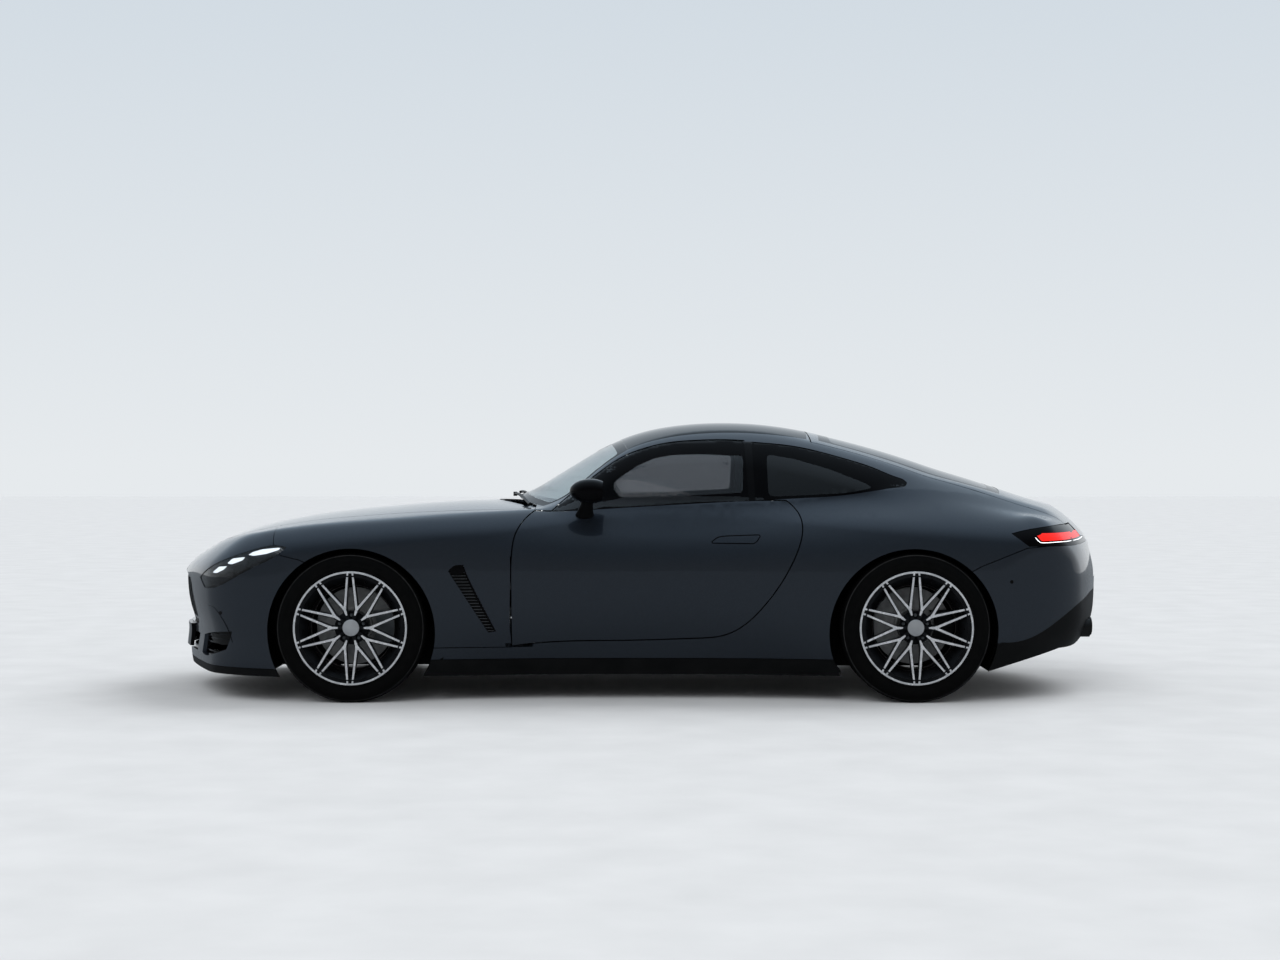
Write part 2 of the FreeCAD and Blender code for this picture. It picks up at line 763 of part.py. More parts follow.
def make_headlamps():
    """Bowl behind each lens, open to the front."""
    block = side_prism(headlamp_shares, -2 * seat_gap)
    hollow = side_prism(headlamp_shares, -bar_width)
    depth = V(.7 * door_depth, .7 * door_depth, 0)
    bowl = glass_in.common(block).cut(glass_in.translated(depth))
    space = glass_in.common(hollow).cut(glass_in.translated(depth * .9))
    return pair(bowl.cut(space))


def make_headlamp_lenses():
    return pair(glass_shell.common(side_prism(headlamp_shares, -2 * seat_gap)))


def make_windscreen():
    return across(glass_shell.common(top_prism(windscreen_shares, .6 * height, sky, -seat_gap)))


def make_roof_panel():
    panel = thick_wall.common(top_prism(roof_shares, .8 * height, sky))
    sleeve = lying(gate_eye_radius + panel_gap / 2, gate_pin_x, gate_pin_z, -gate_eye_half, 0)
    return across(panel.cut(sleeve).fuse(gate_lug()))


def make_body_side():
    """Pillars, roof rail, sill and rear quarter of the left side in one pressing."""
    shape = thick_wall.common(side_prism(body_side_shares))
    post = inner.cut(cabin).common(side_prism(hinge_post_shares))
    shape = shape.fuse(post)
    for cutter in [top_prism(windscreen_shares, .6 * height, sky), gate_block(moving_gap),
                   top_prism(roof_shares, .8 * height, sky, seat_gap), bonnet_block(moving_gap),
                   door_block(.695 * height), side_prism(side_glass_shares, moving_gap),
                   side_prism(quarter_glass_shares), side_prism(tail_lamp_shares, seat_gap),
                   front_arch, rear_arch, liner_room, bonnet_hinge_room(), gate_hinge_room()]:
        shape = shape.cut(cutter)
    solids = sorted(shape.Solids, key=lambda s: -s.Volume)
    return solids[0]


def make_door():
    """Outer skin to the shut line and a narrower box behind it."""
    skin = thin_wall.common(side_prism(door_shares))
    core = inner.cut(cabin).common(side_prism(door_shares, -post_gap))
    return skin.fuse(core)


def make_door_glass():
    block = side_prism(side_glass_shares, 0, 0)
    below = side_prism(door_shares).translated(V(0, 0, seat_gap))
    return glass_shell.common(block).cut(below)


def make_quarter_windows():
    return pair(glass_shell.common(side_prism(quarter_glass_shares, -seat_gap)))


gate_pin_x = .1799 * length
gate_pin_z = .9656 * height
gate_pin_radius = 2.2
gate_eye_radius = 3.9
gate_eye_half = 43.0
gate_lug_width = 7.0


def gate_hinge_room():
    """Space behind the roof for the tailgate's sleeve, its pin and the lug."""
    side = gate_eye_half + gate_lug_width + seat_gap
    return box(gate_pin_x - 2 * gate_eye_radius, length, -side, 0,
               gate_pin_z - gate_eye_radius - moving_gap, sky)


def gate_lug():
    """Pin along the roof panel's rear edge and the lug that holds its end."""
    low, high = gate_pin_z - gate_eye_radius, gate_pin_z + gate_pin_radius
    end = -gate_eye_half - gate_lug_width
    lug = box(gate_pin_x - 2 * gate_eye_radius, gate_pin_x + gate_pin_radius, end,
              end + gate_lug_width - seat_gap, low, high)
    return lug.fuse(lying(gate_pin_radius, gate_pin_x, gate_pin_z, end, 0))


def gate_eye():
    """Sleeve of the tailgate that turns on the pin."""
    low, high = gate_pin_z - gate_eye_radius, gate_pin_z + gate_pin_radius
    sleeve = lying(gate_eye_radius, gate_pin_x, gate_pin_z, -gate_eye_half, 0)
    web = box(gate_pin_x, gate_pin_x + 2 * gate_eye_radius, -gate_eye_half, 0, low, high)
    hole = lying(gate_pin_radius + running_gap, gate_pin_x, gate_pin_z, -half_width, 0)
    return sleeve.fuse(web).cut(hole)


def make_tailgate():
    shape = thick_wall.common(gate_block(0))
    shape = shape.cut(top_prism(rear_glass_shares, .6 * height, sky))
    return across(shape.fuse(gate_eye()))


def make_rear_window():
    return across(glass_shell.common(top_prism(rear_glass_shares, .6 * height, sky, -seat_gap)))


plate_half_height = 80.0
plate_z = .478 * height
plate_pad_x = .4865 * length
plate_pad_wall = 14.0
plate_hole_radius = 3.2
plate_hole_spacing_y = 178.0
plate_hole_spacing_z = 121.0


def plate_recess(shape):
    """Flat pad for the number plate, set into the bumper, with its four screw holes."""
    low, high = plate_z - plate_half_height, plate_z + plate_half_height
    room = box(plate_pad_x, length, -plate_half_width, 0, low, high)
    pad = box(plate_pad_x - plate_pad_wall, plate_pad_x, -plate_half_width - plate_pad_wall, 0,
              low - plate_pad_wall, high + plate_pad_wall)
    frame = box(plate_pad_x - plate_pad_wall, length, -plate_half_width - plate_pad_wall, 0,
                low - plate_pad_wall, high + plate_pad_wall).cut(room)
    shape = shape.cut(room).fuse(frame.common(outer)).fuse(pad.common(outer))
    for z in (plate_z - plate_hole_spacing_z / 2, plate_z + plate_hole_spacing_z / 2):
        start = V(plate_pad_x - 2 * plate_pad_wall, -plate_hole_spacing_y / 2, z)
        shape = shape.cut(Part.makeCylinder(plate_hole_radius, 4 * plate_pad_wall, start, V(1, 0, 0)))
    return shape


def make_rear_bumper():
    shape = thin_wall.common(side_prism(rear_bumper_shares))
    for cutter in [gate_block(moving_gap), side_prism(tail_lamp_shares, seat_gap), rear_arch,
                   side_prism(body_side_shares, panel_gap), side_prism(diffuser_shares, seat_gap),
                   side_prism(tail_kick_shares), exhaust_block()]:
        shape = shape.cut(cutter)
    return across(plate_recess(shape))


def make_tail_lamps():
    block = side_prism(tail_lamp_shares, -seat_gap).cut(gate_block(moving_gap))
    shell = glass_out.cut(glass_out.translated(V(-.6 * door_depth, .3 * door_depth, 0)))
    return pair(shell.common(block))


def make_lower_trim():
    """Front lip, side skirts and rear diffuser, all in black."""
    lip = across(thin_wall.common(side_prism(splitter_shares)).cut(front_arch))
    skirt = thin_wall.common(side_prism(skirt_shares)).cut(front_arch).cut(rear_arch)
    tail = thin_wall.common(side_prism(diffuser_shares)).cut(side_prism(tail_kick_shares))
    tail = across(tail.cut(rear_arch).cut(exhaust_block()))
    return Part.makeCompound(lip.Solids + pair(skirt).Solids + tail.Solids)


floor_low = ground_clearance + panel_wall
floor_wall = 22.0
floor_top = floor_low + floor_wall
rail_top = .150 * height
rail_inner = 760.0
rail_outer = 860.0


jack_pad_length = 90.0
jack_pad_width = 60.0
jack_pad_depth = 8.0
jack_pad_y = 810.0
jack_pad_front_x = -800.0
jack_pad_rear_x = 750.0


def jack_pad(x):
    """Pad under a rail for a jack or a lift arm."""
    return box(x - jack_pad_length / 2, x + jack_pad_length / 2, -jack_pad_y - jack_pad_width / 2,
               -jack_pad_y + jack_pad_width / 2, floor_low - jack_pad_depth, floor_top)


def make_underbody():
    """Flat floor that rises at the tail, with two side rails and four lifting pads."""
    pan = inner.common(box(-length, length, -half_width, 0, floor_low, floor_low + floor_wall))
    ramp = inner.common(side_prism(tail_kick_shares, floor_wall))
    ramp = ramp.common(box(0, length, -half_width, 0, floor_low, height))
    pan = pan.fuse(ramp).cut(side_prism(tail_kick_shares))
    pan = pan.fuse(jack_pad(jack_pad_front_x)).fuse(jack_pad(jack_pad_rear_x))
    rail = box(-.20 * length, .18 * length, -rail_outer, -rail_inner, floor_low, rail_top - seat_gap)
    shape = pan.fuse(rail.common(inner))
    front = lying(front_liner_radius, front_axle_x, axle_z, -arch_y, -front_liner_y)
    rear = lying(rear_liner_radius, rear_axle_x, axle_z, -arch_y, -rear_liner_y)
    shape = shape.cut(front).cut(rear)
    return across(shape)


firewall_x = -.158 * length
firewall_wall = 20.0
rear_wall_x = .2322 * length
deck_z = .46 * height
tray_drop = 62.0
tray_wall = 8.0
bonnet_pin_x = -.1167 * length
bonnet_pin_y = .52 * half_width
bonnet_pin_z = .683 * height
pin_radius = 4.0
eye_radius = 9.0
eye_width = 10.0
running_gap = 0.05


def bonnet_hinge_room():
    """Slot in the scuttle strip for a bonnet arm as it swings, and for its bracket."""
    y0 = -bonnet_pin_y - 3 * eye_width / 2 - 2 * seat_gap
    y1 = -bonnet_pin_y + eye_width / 2 + moving_gap
    return box(-.1300 * length, bonnet_pin_x + eye_radius + moving_gap, y0, y1, .60 * height, sky)


def bonnet_bracket():
    """Upright on the scuttle tray with the pin that a bonnet arm turns on."""
    y = -bonnet_pin_y - eye_width / 2 - seat_gap
    post = box(bonnet_pin_x - eye_radius, bonnet_pin_x + eye_radius, y - eye_width, y,
               .6285 * height, bonnet_pin_z + eye_radius)
    end = y + eye_width + pin_radius
    return post.fuse(lying(pin_radius, bonnet_pin_x, bonnet_pin_z, y - eye_width, end))


def bonnet_arm():
    """Arm under the bonnet's rear corner with its eye round the pin."""
    y0, y1 = -bonnet_pin_y - eye_width / 2, -bonnet_pin_y + eye_width / 2
    eye = lying(eye_radius, bonnet_pin_x, bonnet_pin_z, y0, y1)
    bar = box(bonnet_pin_x - .024 * length, bonnet_pin_x, y0, y1, bonnet_pin_z - eye_radius,
              bonnet_pin_z + eye_radius / 2)
    hole = lying(pin_radius + running_gap, bonnet_pin_x, bonnet_pin_z, -half_width, 0)
    return eye.fuse(bar).cut(hole)


def make_bulkheads():
    """Firewall, scuttle tray with the bonnet's brackets, and the wall and shelf behind the seats."""
    wall = inner.common(box(firewall_x, firewall_x + firewall_wall, -.60 * half_width, 0,
                            floor_top, .60 * height))
    tray = inner.translated(V(0, 0, -tray_drop)).cut(inner.translated(V(0, 0, -tray_drop - tray_wall)))
    tray = tray.common(top_prism(tray_shares, height / 2, sky)).fuse(bonnet_bracket())
    shelf = cabin.common(box(rear_wall_x, .40 * length, -half_width, 0, deck_z, deck_z + floor_wall))
    back = cabin.common(box(rear_wall_x - firewall_wall, rear_wall_x, -.53 * half_width, 0,
                            floor_top, deck_z + floor_wall))
    wheel = lying(rear_liner_radius + liner_wall + seat_gap, rear_axle_x, axle_z, -half_width,
                  -rear_liner_y + liner_wall + seat_gap)
    rear = shelf.cut(wheel).fuse(back)
    return Part.makeCompound(across(wall).Solids + across(tray).Solids + across(rear).Solids)


def arch_liner(x, radius, inner_y):
    """Half tube over a wheel with a wall on its inner end, open for the suspension."""
    y0, y1 = -half_width + arch_lip, -inner_y
    tube = lying(radius + liner_wall, x, axle_z, y0, y1 + liner_wall)
    tube = tube.cut(lying(radius, x, axle_z, y0 - overrun, y1))
    reach = radius + 2 * liner_wall
    low = floor_low + floor_wall + seat_gap
    tube = tube.common(box(x - reach, x + reach, y0, 0, low, height))
    window = .42 * radius
    gap = box(x - window, x + window, y1 - liner_wall, 0, 0, axle_z + .55 * radius)
    return tube.cut(gap)


def make_arch_liners():
    space = inner
    front = arch_liner(front_axle_x, front_liner_radius, front_liner_y).common(space)
    rear = arch_liner(rear_axle_x, rear_liner_radius, rear_liner_y).common(space)
    rear = rear.cut(thick_wall).cut(side_prism(tail_kick_shares, floor_wall + seat_gap))
    front = max(front.Solids, key=lambda s: s.Volume)
    rear = max(rear.Solids, key=lambda s: s.Volume)
    return Part.makeCompound(pair(front).Solids + pair(rear).Solids)


# Cabin

seat_y = 375.0
seat_width = 500.0
rear_seat_y = 320.0
rear_seat_width = 400.0
seat_profile_shares = [
    [(.015, .175), (.005, .27), (.012, .335)],
    [(.050, .345), (.085, .325), (.105, .318)],
    [(.118, .36), (.135, .50), (.155, .66), (.160, .745)],
    [(.168, .815), (.185, .815), (.188, .74)],
    [(.186, .60), (.170, .44), (.150, .30), (.140, .175)],
    [(.015, .175)]]
rear_seat_profile_shares = [
    [(.178, .175), (.172, .26), (.178, .325)],
    [(.195, .330), (.208, .318)],
    [(.214, .40), (.220, .50), (.2240, .575)],
    [(.2278, .575)],
    [(.2278, .175)],
    [(.178, .175)]]
dash_profile_shares = [
    [(-.150, .40), (-.150, .600), (-.106, .606)],
    [(-.100, .650)],
    [(-.085, .656), (-.068, .640)],
    [(-.058, .600), (-.062, .565)],
    [(-.085, .50), (-.095, .42)],
    [(-.150, .40)]]
console_profile_shares = [
    [(-.130, .110), (-.100, .44)],
    [(-.050, .43), (-.010, .375), (.050, .355)],
    [(.110, .365)],
    [(.125, .33), (.125, .110)],
    [(-.130, .110)]]
console_width = 240.0


def extruded_profile(runs, y0, y1):
    face = loop(runs, side_point)
    face.translate(V(0, y0, 0))
    return face.extrude(V(0, y1 - y0, 0))


def make_seats():
    half = seat_width / 2
    front = extruded_profile(seat_profile_shares, -seat_y - half, -seat_y + half)
    front.translate(V(0, 0, floor_top + seat_gap - .175 * height))
    rear = extruded_profile(rear_seat_profile_shares, -rear_seat_y - rear_seat_width / 2,
                            -rear_seat_y + rear_seat_width / 2)
    rear.translate(V(0, 0, floor_top + seat_gap - .175 * height))
    return Part.makeCompound(pair(front).Solids + pair(rear).Solids)


def make_dashboard():
    dash = extruded_profile(dash_profile_shares, -half_width, 0).common(cabin)
    dash = dash.common(box(-length, length, -.652 * half_width, 0, 0, height))
    console = extruded_profile(console_profile_shares, -console_width / 2, 0)
    low = box(-length, length, -half_width, 0, floor_top + seat_gap, height)
    firewall_clear = box(firewall_x + firewall_wall + seat_gap, length, -half_width, 0, 0, height)
    shape = dash.fuse(console).common(low).common(firewall_clear)
    column = Part.makeCylinder(column_radius, column_length, wheel_hub_point, column_way)
    return across(shape).fuse(column)


hand_wheel_radius = 182.0
hand_wheel_grip = 15.0
hub_radius = 62.0
hub_depth = 42.0
column_radius = 30.0
column_length = 260.0
column_tilt = 22.0
hand_wheel_centre = V(-.032 * length, -seat_y, .60 * height)
column_way = V(-math.cos(math.radians(column_tilt)), 0, -math.sin(math.radians(column_tilt)))
wheel_hub_point = hand_wheel_centre + column_way * (hub_depth + seat_gap)


def make_steering_wheel():
    """Grip, three spokes and hub, built flat about Z and then tilted."""
    ring = Part.makeTorus(hand_wheel_radius, hand_wheel_grip)
    hub = Part.makeCylinder(hub_radius, hub_depth, V(0, 0, -hub_depth))
    parts = [hub]
    for turn in (0, 90, 180):
        spoke = box(0, hand_wheel_radius, -hand_wheel_grip, hand_wheel_grip,
                    -hand_wheel_grip, 0)
        spoke.rotate(V(0, 0, 0), V(0, 0, 1), turn + 180)
        parts.append(spoke)
    shape = ring.multiFuse(parts)
    shape.rotate(V(0, 0, 0), V(0, 0, 1), 90)
    shape.rotate(V(0, 0, 0), V(0, 1, 0), 90 - column_tilt)
    shape.translate(hand_wheel_centre)
    return shape


# Engine and running gear

engine_length = 620.0
engine_width = 600.0
engine_low = floor_top + seat_gap
engine_high = 770.0
engine_nose_x = -.2905 * length


def make_engine_block():
    return box(engine_nose_x, engine_nose_x + engine_length, -engine_width / 2, engine_width / 2,
               engine_low, engine_high)


def make_radiator():
    x = -.445 * length
    return box(x, x + bar_depth, -.42 * half_width, .42 * half_width, floor_top + seat_gap, .44 * height)


kingpin_y = 715.0
ball_radius = 17.0
arm_height = 26.0
arm_inner_y = 330.0
arm_spread = 190.0
lower_arm_z = 215.0
upper_arm_z = 520.0
shaft_radius = 17.0
carrier_width = 60.0


def wishbone(x, z, reach):
    """A-shaped arm from the body to an eye at its outer end."""
    eye = Part.makeCylinder(ball_radius + arm_height / 2, arm_height, V(x, -reach, z - arm_height / 2))
    shape = eye
    for side in (-1, 1):
        foot = V(x + side * arm_spread, -arm_inner_y, z)
        tip = V(x, -reach, z)
        way = tip - foot
        leg = Part.makeBox(way.Length, arm_height, arm_height, V(0, -arm_height / 2, -arm_height / 2))
        leg.rotate(V(0, 0, 0), V(0, 0, 1), math.degrees(math.atan2(way.y, way.x)))
        leg.translate(foot)
        shape = shape.fuse(leg)
    bar = box(x - arm_spread - arm_height, x + arm_spread + arm_height, -arm_inner_y - arm_height / 2,
              -arm_inner_y + arm_height / 2, z - arm_height / 2, z + arm_height / 2)
    return shape.fuse(bar)


def suspension_tower(x):
    """Upright plate on the floor that carries both arms of one side."""
    half = arm_spread + 2 * arm_height
    return box(x - half, x + half, -arm_inner_y - arm_height / 2, -arm_inner_y,
               floor_top + seat_gap, upper_arm_z + arm_height)


def make_suspension():
    """Front and rear arms, rear hub carriers and drive shafts."""
    solids = []
    front = suspension_tower(front_axle_x)
    for z in (lower_arm_z, upper_arm_z):
        front = front.fuse(wishbone(front_axle_x, z, kingpin_y))
    hole = Part.makeCylinder(ball_radius, height, V(front_axle_x, -kingpin_y, 0))
    solids += pair(front.cut(hole)).Solids
    carrier = box(rear_axle_x - carrier_width, rear_axle_x + carrier_width,
                  -kingpin_y - carrier_width / 2, -kingpin_y + carrier_width / 2,
                  lower_arm_z - arm_height, upper_arm_z + arm_height)
    rear = carrier
    for z in (lower_arm_z, upper_arm_z):
        rear = rear.fuse(wishbone(rear_axle_x, z, kingpin_y))
    rear = rear.fuse(lying(shaft_radius, rear_axle_x, axle_z, -kingpin_y, 0))
    rear = rear.fuse(box(rear_axle_x - carrier_width * 2, rear_axle_x + carrier_width * 2,
                         -arm_inner_y + seat_gap, 0, floor_top + seat_gap,
                         upper_arm_z + arm_height))
    rear = rear.fuse(lying(spindle_radius, rear_axle_x, axle_z, -rear_wheel_y + seat_gap, -kingpin_y))
    rear = across(rear).fuse(pair(caliper_at(rear_axle_x, rear_wheel_y)))
    return Part.makeCompound(solids + rear.Solids)


disc_radius = 185.0
disc_wall = 34.0
disc_inset = 60.0
bell_radius = 88.0
spindle_radius = 26.0
caliper_length = 150.0
caliper_gap = 5.0


def caliper_at(x, wheel_y):
    """Bridge over the rear of a disc, carried by an arm from the hub carrier."""
    y = -wheel_y + disc_inset
    outer_r = disc_radius + 16.0
    ring = lying(outer_r, x, axle_z, y - disc_wall - 18.0, y + disc_wall + 10.0)
    ring = ring.cut(lying(disc_radius - 75.0, x, axle_z, -half_width, 0))
    slot = lying(disc_radius + caliper_gap, x, axle_z, y - disc_wall / 2 - caliper_gap,
                 y + disc_wall / 2 + caliper_gap)
    ring = ring.cut(slot)
    wedge = box(x + .35 * disc_radius, x + 2 * disc_radius, -half_width, 0,
                axle_z - caliper_length / 2, axle_z + caliper_length / 2)
    shape = ring.common(wedge)
    arm = box(x, x + disc_radius - 30.0, y + disc_wall / 2 + caliper_gap, -kingpin_y + 8.0,
              axle_z - carrier_width / 2, axle_z + carrier_width / 2)
    return shape.fuse(arm)


def make_knuckle():
    """Left upright with its spindle, two ball pins, a steering arm and the caliper."""
    x, y = front_axle_x, -kingpin_y
    gap = arm_height / 2 + caliper_gap
    post = box(x - carrier_width / 2, x + carrier_width / 2, y - carrier_width / 2,
               y + carrier_width / 2, lower_arm_z + gap, upper_arm_z - gap)
    pin = Part.makeCylinder(ball_radius - running_gap, upper_arm_z - lower_arm_z + arm_height,
                            V(x, y, lower_arm_z - arm_height / 2))
    spindle = lying(spindle_radius, x, axle_z, -front_wheel_y + seat_gap, y)
    return post.multiFuse([pin, spindle, caliper_at(front_axle_x, front_wheel_y)])


def make_disc(x, wheel_y):
    """Brake disc with its bell, turning on the spindle."""
    y = -wheel_y + disc_inset
    disc = lying(disc_radius, x, axle_z, y - disc_wall / 2, y + disc_wall / 2)
    bell = lying(bell_radius, x, axle_z, y - disc_inset, y)
    hole = lying(spindle_radius + running_gap, x, axle_z, -half_width, 0)
    return disc.fuse(bell).cut(hole)


# Wheels

spoke_forks = 10
hub_radius_outer = 44.0
hub_face_radius = 80.0
hub_face_drop = 20.0
barrel_wall = 9.0
barrel_steps = 6
step_rise = 5.5
step_run = 12.0
flange_wall = 8.0
flange_lean = 9.0
fork_radius = 92.0
fork_angle = 18.0
twin_half_gap = 13.0
stem_width = 25.0
blade_root_width = 19.0
blade_tip_width = 12.5
spoke_depth = 34.0
dish_depth = 30.0
lug_radius = 9.0
lug_circle = 60.0
lug_count = 5
bead_inset = 20.0
bead_step = 3.0
bead_lip = 2.0
shoulder_height = 34.0
shoulder_run = 24.0


def tyre_profile(half):
    """Half section of a tyre with straight runs, in radius and distance along the axle."""
    return [(bead_radius + seat_gap, half - bead_inset - bead_step),
            (tyre_radius - shoulder_height, half), (tyre_radius, half - shoulder_run)]


def ring_of(profile, x, y):
    """Revolve a closed list of radius and axle places about the axle line."""
    points = [V(x, y + a, axle_z + r) for r, a in profile]
    face = Part.Face(Part.makePolygon(points + [points[0]]))
    return face.revolve(V(x, y, axle_z), V(0, 1, 0), 360)


def make_tyre(x, wheel_y, tyre_width):
    half = tyre_width / 2
    rows = tyre_profile(half)
    profile = [(r, -a) for r, a in rows] + [(r, a) for r, a in reversed(rows)]
    return ring_of(profile, x, -wheel_y)


def barrel_profile(half, edge):
    """Rim section: bead seats, flanges and a bore that steps down behind the spokes."""
    rows = [(bead_radius, -half + bead_lip), (rim_radius, -edge + bead_lip),
            (rim_radius, -edge - flange_wall)]
    radius, y = bead_radius - barrel_wall, -edge - flange_wall
    rows.append((radius, y))
    for _ in range(barrel_steps):
        y += step_run
        rows.append((radius, y))
        radius -= step_rise
        rows.append((radius, y))
    deep = radius + barrel_wall
    rows += [(radius, half - step_run), (bead_radius - barrel_wall, edge + flange_wall),
             (rim_radius, edge + flange_wall), (rim_radius, edge - bead_lip),
             (bead_radius, half - bead_lip), (bead_radius, half - 2 * step_run),
             (deep, half - 4 * step_run), (deep, -half + 7 * step_run),
             (bead_radius, -half + 5 * step_run)]
    return rows


def blade(x, start, end, root_width, tip_width):
    """Tapered bar in the wheel's plane, extruded across the car."""
    way = end - start
    way.normalize()
    side = V(-way.z, 0, way.x)
    corners = [start + side * root_width / 2, end + side * tip_width / 2,
               end - side * tip_width / 2, start - side * root_width / 2]
    points = [c + V(x, -half_width - overrun, axle_z) for c in corners]
    face = Part.Face(Part.makePolygon(points + [points[0]]))
    return face.extrude(V(0, half_width + overrun, 0))


def around(radius, angle):
    return V(radius * math.cos(math.radians(angle)), 0, radius * math.sin(math.radians(angle)))


def fork(x, middle):
    """Stem from the hub that parts into two blades, each a twin of the next fork's blade."""
    tip = bead_radius - barrel_wall / 2
    spread = fork_angle - math.degrees(math.asin(twin_half_gap / tip))
    joint = around(fork_radius, middle)
    stem = blade(x, around(hub_radius_outer / 2, middle), joint, stem_width / 2, stem_width)
    blades = [blade(x, joint, around(tip, middle + side * spread), blade_root_width, blade_tip_width)
              for side in (-1, 1)]
    return stem.multiFuse(blades)


def make_rim(x, wheel_y, tyre_width):
    """Stepped barrel, hub and ten forked spokes whose blades pair up at the rim."""
    half = tyre_width / 2 - bead_inset
    edge = half + flange_lean
    shape = ring_of(barrel_profile(half, edge), x, -wheel_y)
    face_y = -edge - flange_wall + bead_lip
    back = face_y + dish_depth
    reach = bead_radius - barrel_wall / 2
    dish = [(0, back), (hub_radius_outer, back), (reach, face_y), (reach, face_y + spoke_depth),
            (hub_face_radius, back + spoke_depth), (0, back + spoke_depth)]
    forks = [fork(x, 90 + fork_angle * (2 * i + 1)) for i in range(spoke_forks)]
    cap = lying(hub_radius_outer, x, axle_z, -half_width - overrun, 0)
    star = forks[0].multiFuse(forks[1:] + [cap]).common(ring_of(dish, x, -wheel_y))
    hub = lying(hub_face_radius, x, axle_z, -wheel_y + back + hub_face_drop, -wheel_y)
    for i in range(lug_count):
        place = around(lug_circle, 90 + 360 * i / lug_count)
        hub = hub.cut(lying(lug_radius, x + place.x, axle_z + place.z, -half_width - overrun,
                            -wheel_y + back + hub_face_drop + lug_radius))
    return shape.fuse(star).fuse(hub)


mirror_centre = V(-.050 * length, -.975 * half_width, .747 * height)
mirror_length = 200.0
mirror_height = 118.0
mirror_reach = 190.0
mirror_foot = 34.0


def make_mirror():
    """Rounded housing on a foot that stands on the door."""
    ball = Part.makeSphere(1)
    frame = FreeCAD.Matrix()
    frame.scale(mirror_length / 2, mirror_reach / 2, mirror_height / 2)
    head = ball.transformGeometry(frame)
    head.translate(mirror_centre)
    mirror_back = box(mirror_centre.x + .30 * mirror_length, length, -2 * half_width, 0, 0, height)
    head = head.cut(mirror_back)
    foot_x = mirror_centre.x
    foot = box(foot_x - mirror_foot, foot_x + mirror_foot, mirror_centre.y, -.75 * half_width,
               .648 * height, mirror_centre.z)
    foot = foot.cut(outer)
    return head.fuse(max(foot.Solids, key=lambda s: s.Volume))


wiper_radius = 7.0
wiper_hub_radius = 10.0
wiper_lift = 12.0
wiper_stem = wiper_lift - seat_gap
wiper_points = 7
wiper_shares = [(-.1372, -.06, -.1150, -.64), (-.1255, .46, -.1320, -.02)]


def wiper(x0, y0, x1, y1):
    """Tube that follows the windscreen, with a stem at its driven end."""
    points = []
    for k in range(wiper_points):
        t = k / (wiper_points - 1)
        x = (x0 + (x1 - x0) * t) * length
        y = (y0 + (y1 - y0) * t) * half_width
        points.append(strike(body_field, (x, y, height / 2), (0, 0, 1)) + V(0, 0, wiper_lift))
    line = Part.BSplineCurve()
    line.interpolate(points)
    way = line.tangent(line.FirstParameter)[0]
    ring = Part.Wire([Part.makeCircle(wiper_radius, points[0], way)])
    arm = Part.Wire([line.toShape()]).makePipeShell([ring], True, False)
    stem = Part.makeCylinder(wiper_hub_radius, wiper_stem + wiper_hub_radius,
                             points[0] - V(0, 0, wiper_stem))
    return arm.fuse(stem)


def make_wipers():
    """Two arms lying at the foot of the windscreen."""
    return Part.makeCompound([wiper(*row) for row in wiper_shares])


exhaust_radius = 45.0
exhaust_wall = 4.0
exhaust_height = 322.0


def make_exhaust():
    """Silencer across the tail and four outlets through the diffuser."""
    x = .378 * length
    shape = box(x, x + .055 * length, -.50 * half_width - exhaust_radius, 0, floor_top + seat_gap,
                .275 * height)
    shape = shape.cut(side_prism(tail_kick_shares, floor_wall + seat_gap))
    for share, reach in ((.38, .4815), (.50, .4745)):
        centre = V(x + .035 * length, -share * half_width, exhaust_height)
        end = reach * length - centre.x
        pipe = Part.makeCylinder(exhaust_radius, end, centre, V(1, 0, 0))
        hole = Part.makeCylinder(exhaust_radius - exhaust_wall, end, centre + V(.015 * length, 0, 0),
                                 V(1, 0, 0))
        shape = shape.fuse(pipe).cut(hole)
    return across(shape)


def exhaust_block():
    cut = []
    for share in (.38, .50):
        cut.append(Part.makeCylinder(exhaust_radius + 2 * seat_gap, length,
                                     V(.42 * length, -share * half_width, exhaust_height), V(1, 0, 0)))
    return cut[0].fuse(cut[1])


def save(name, shape):
    shape.exportStep("parts/" + name + ".step")


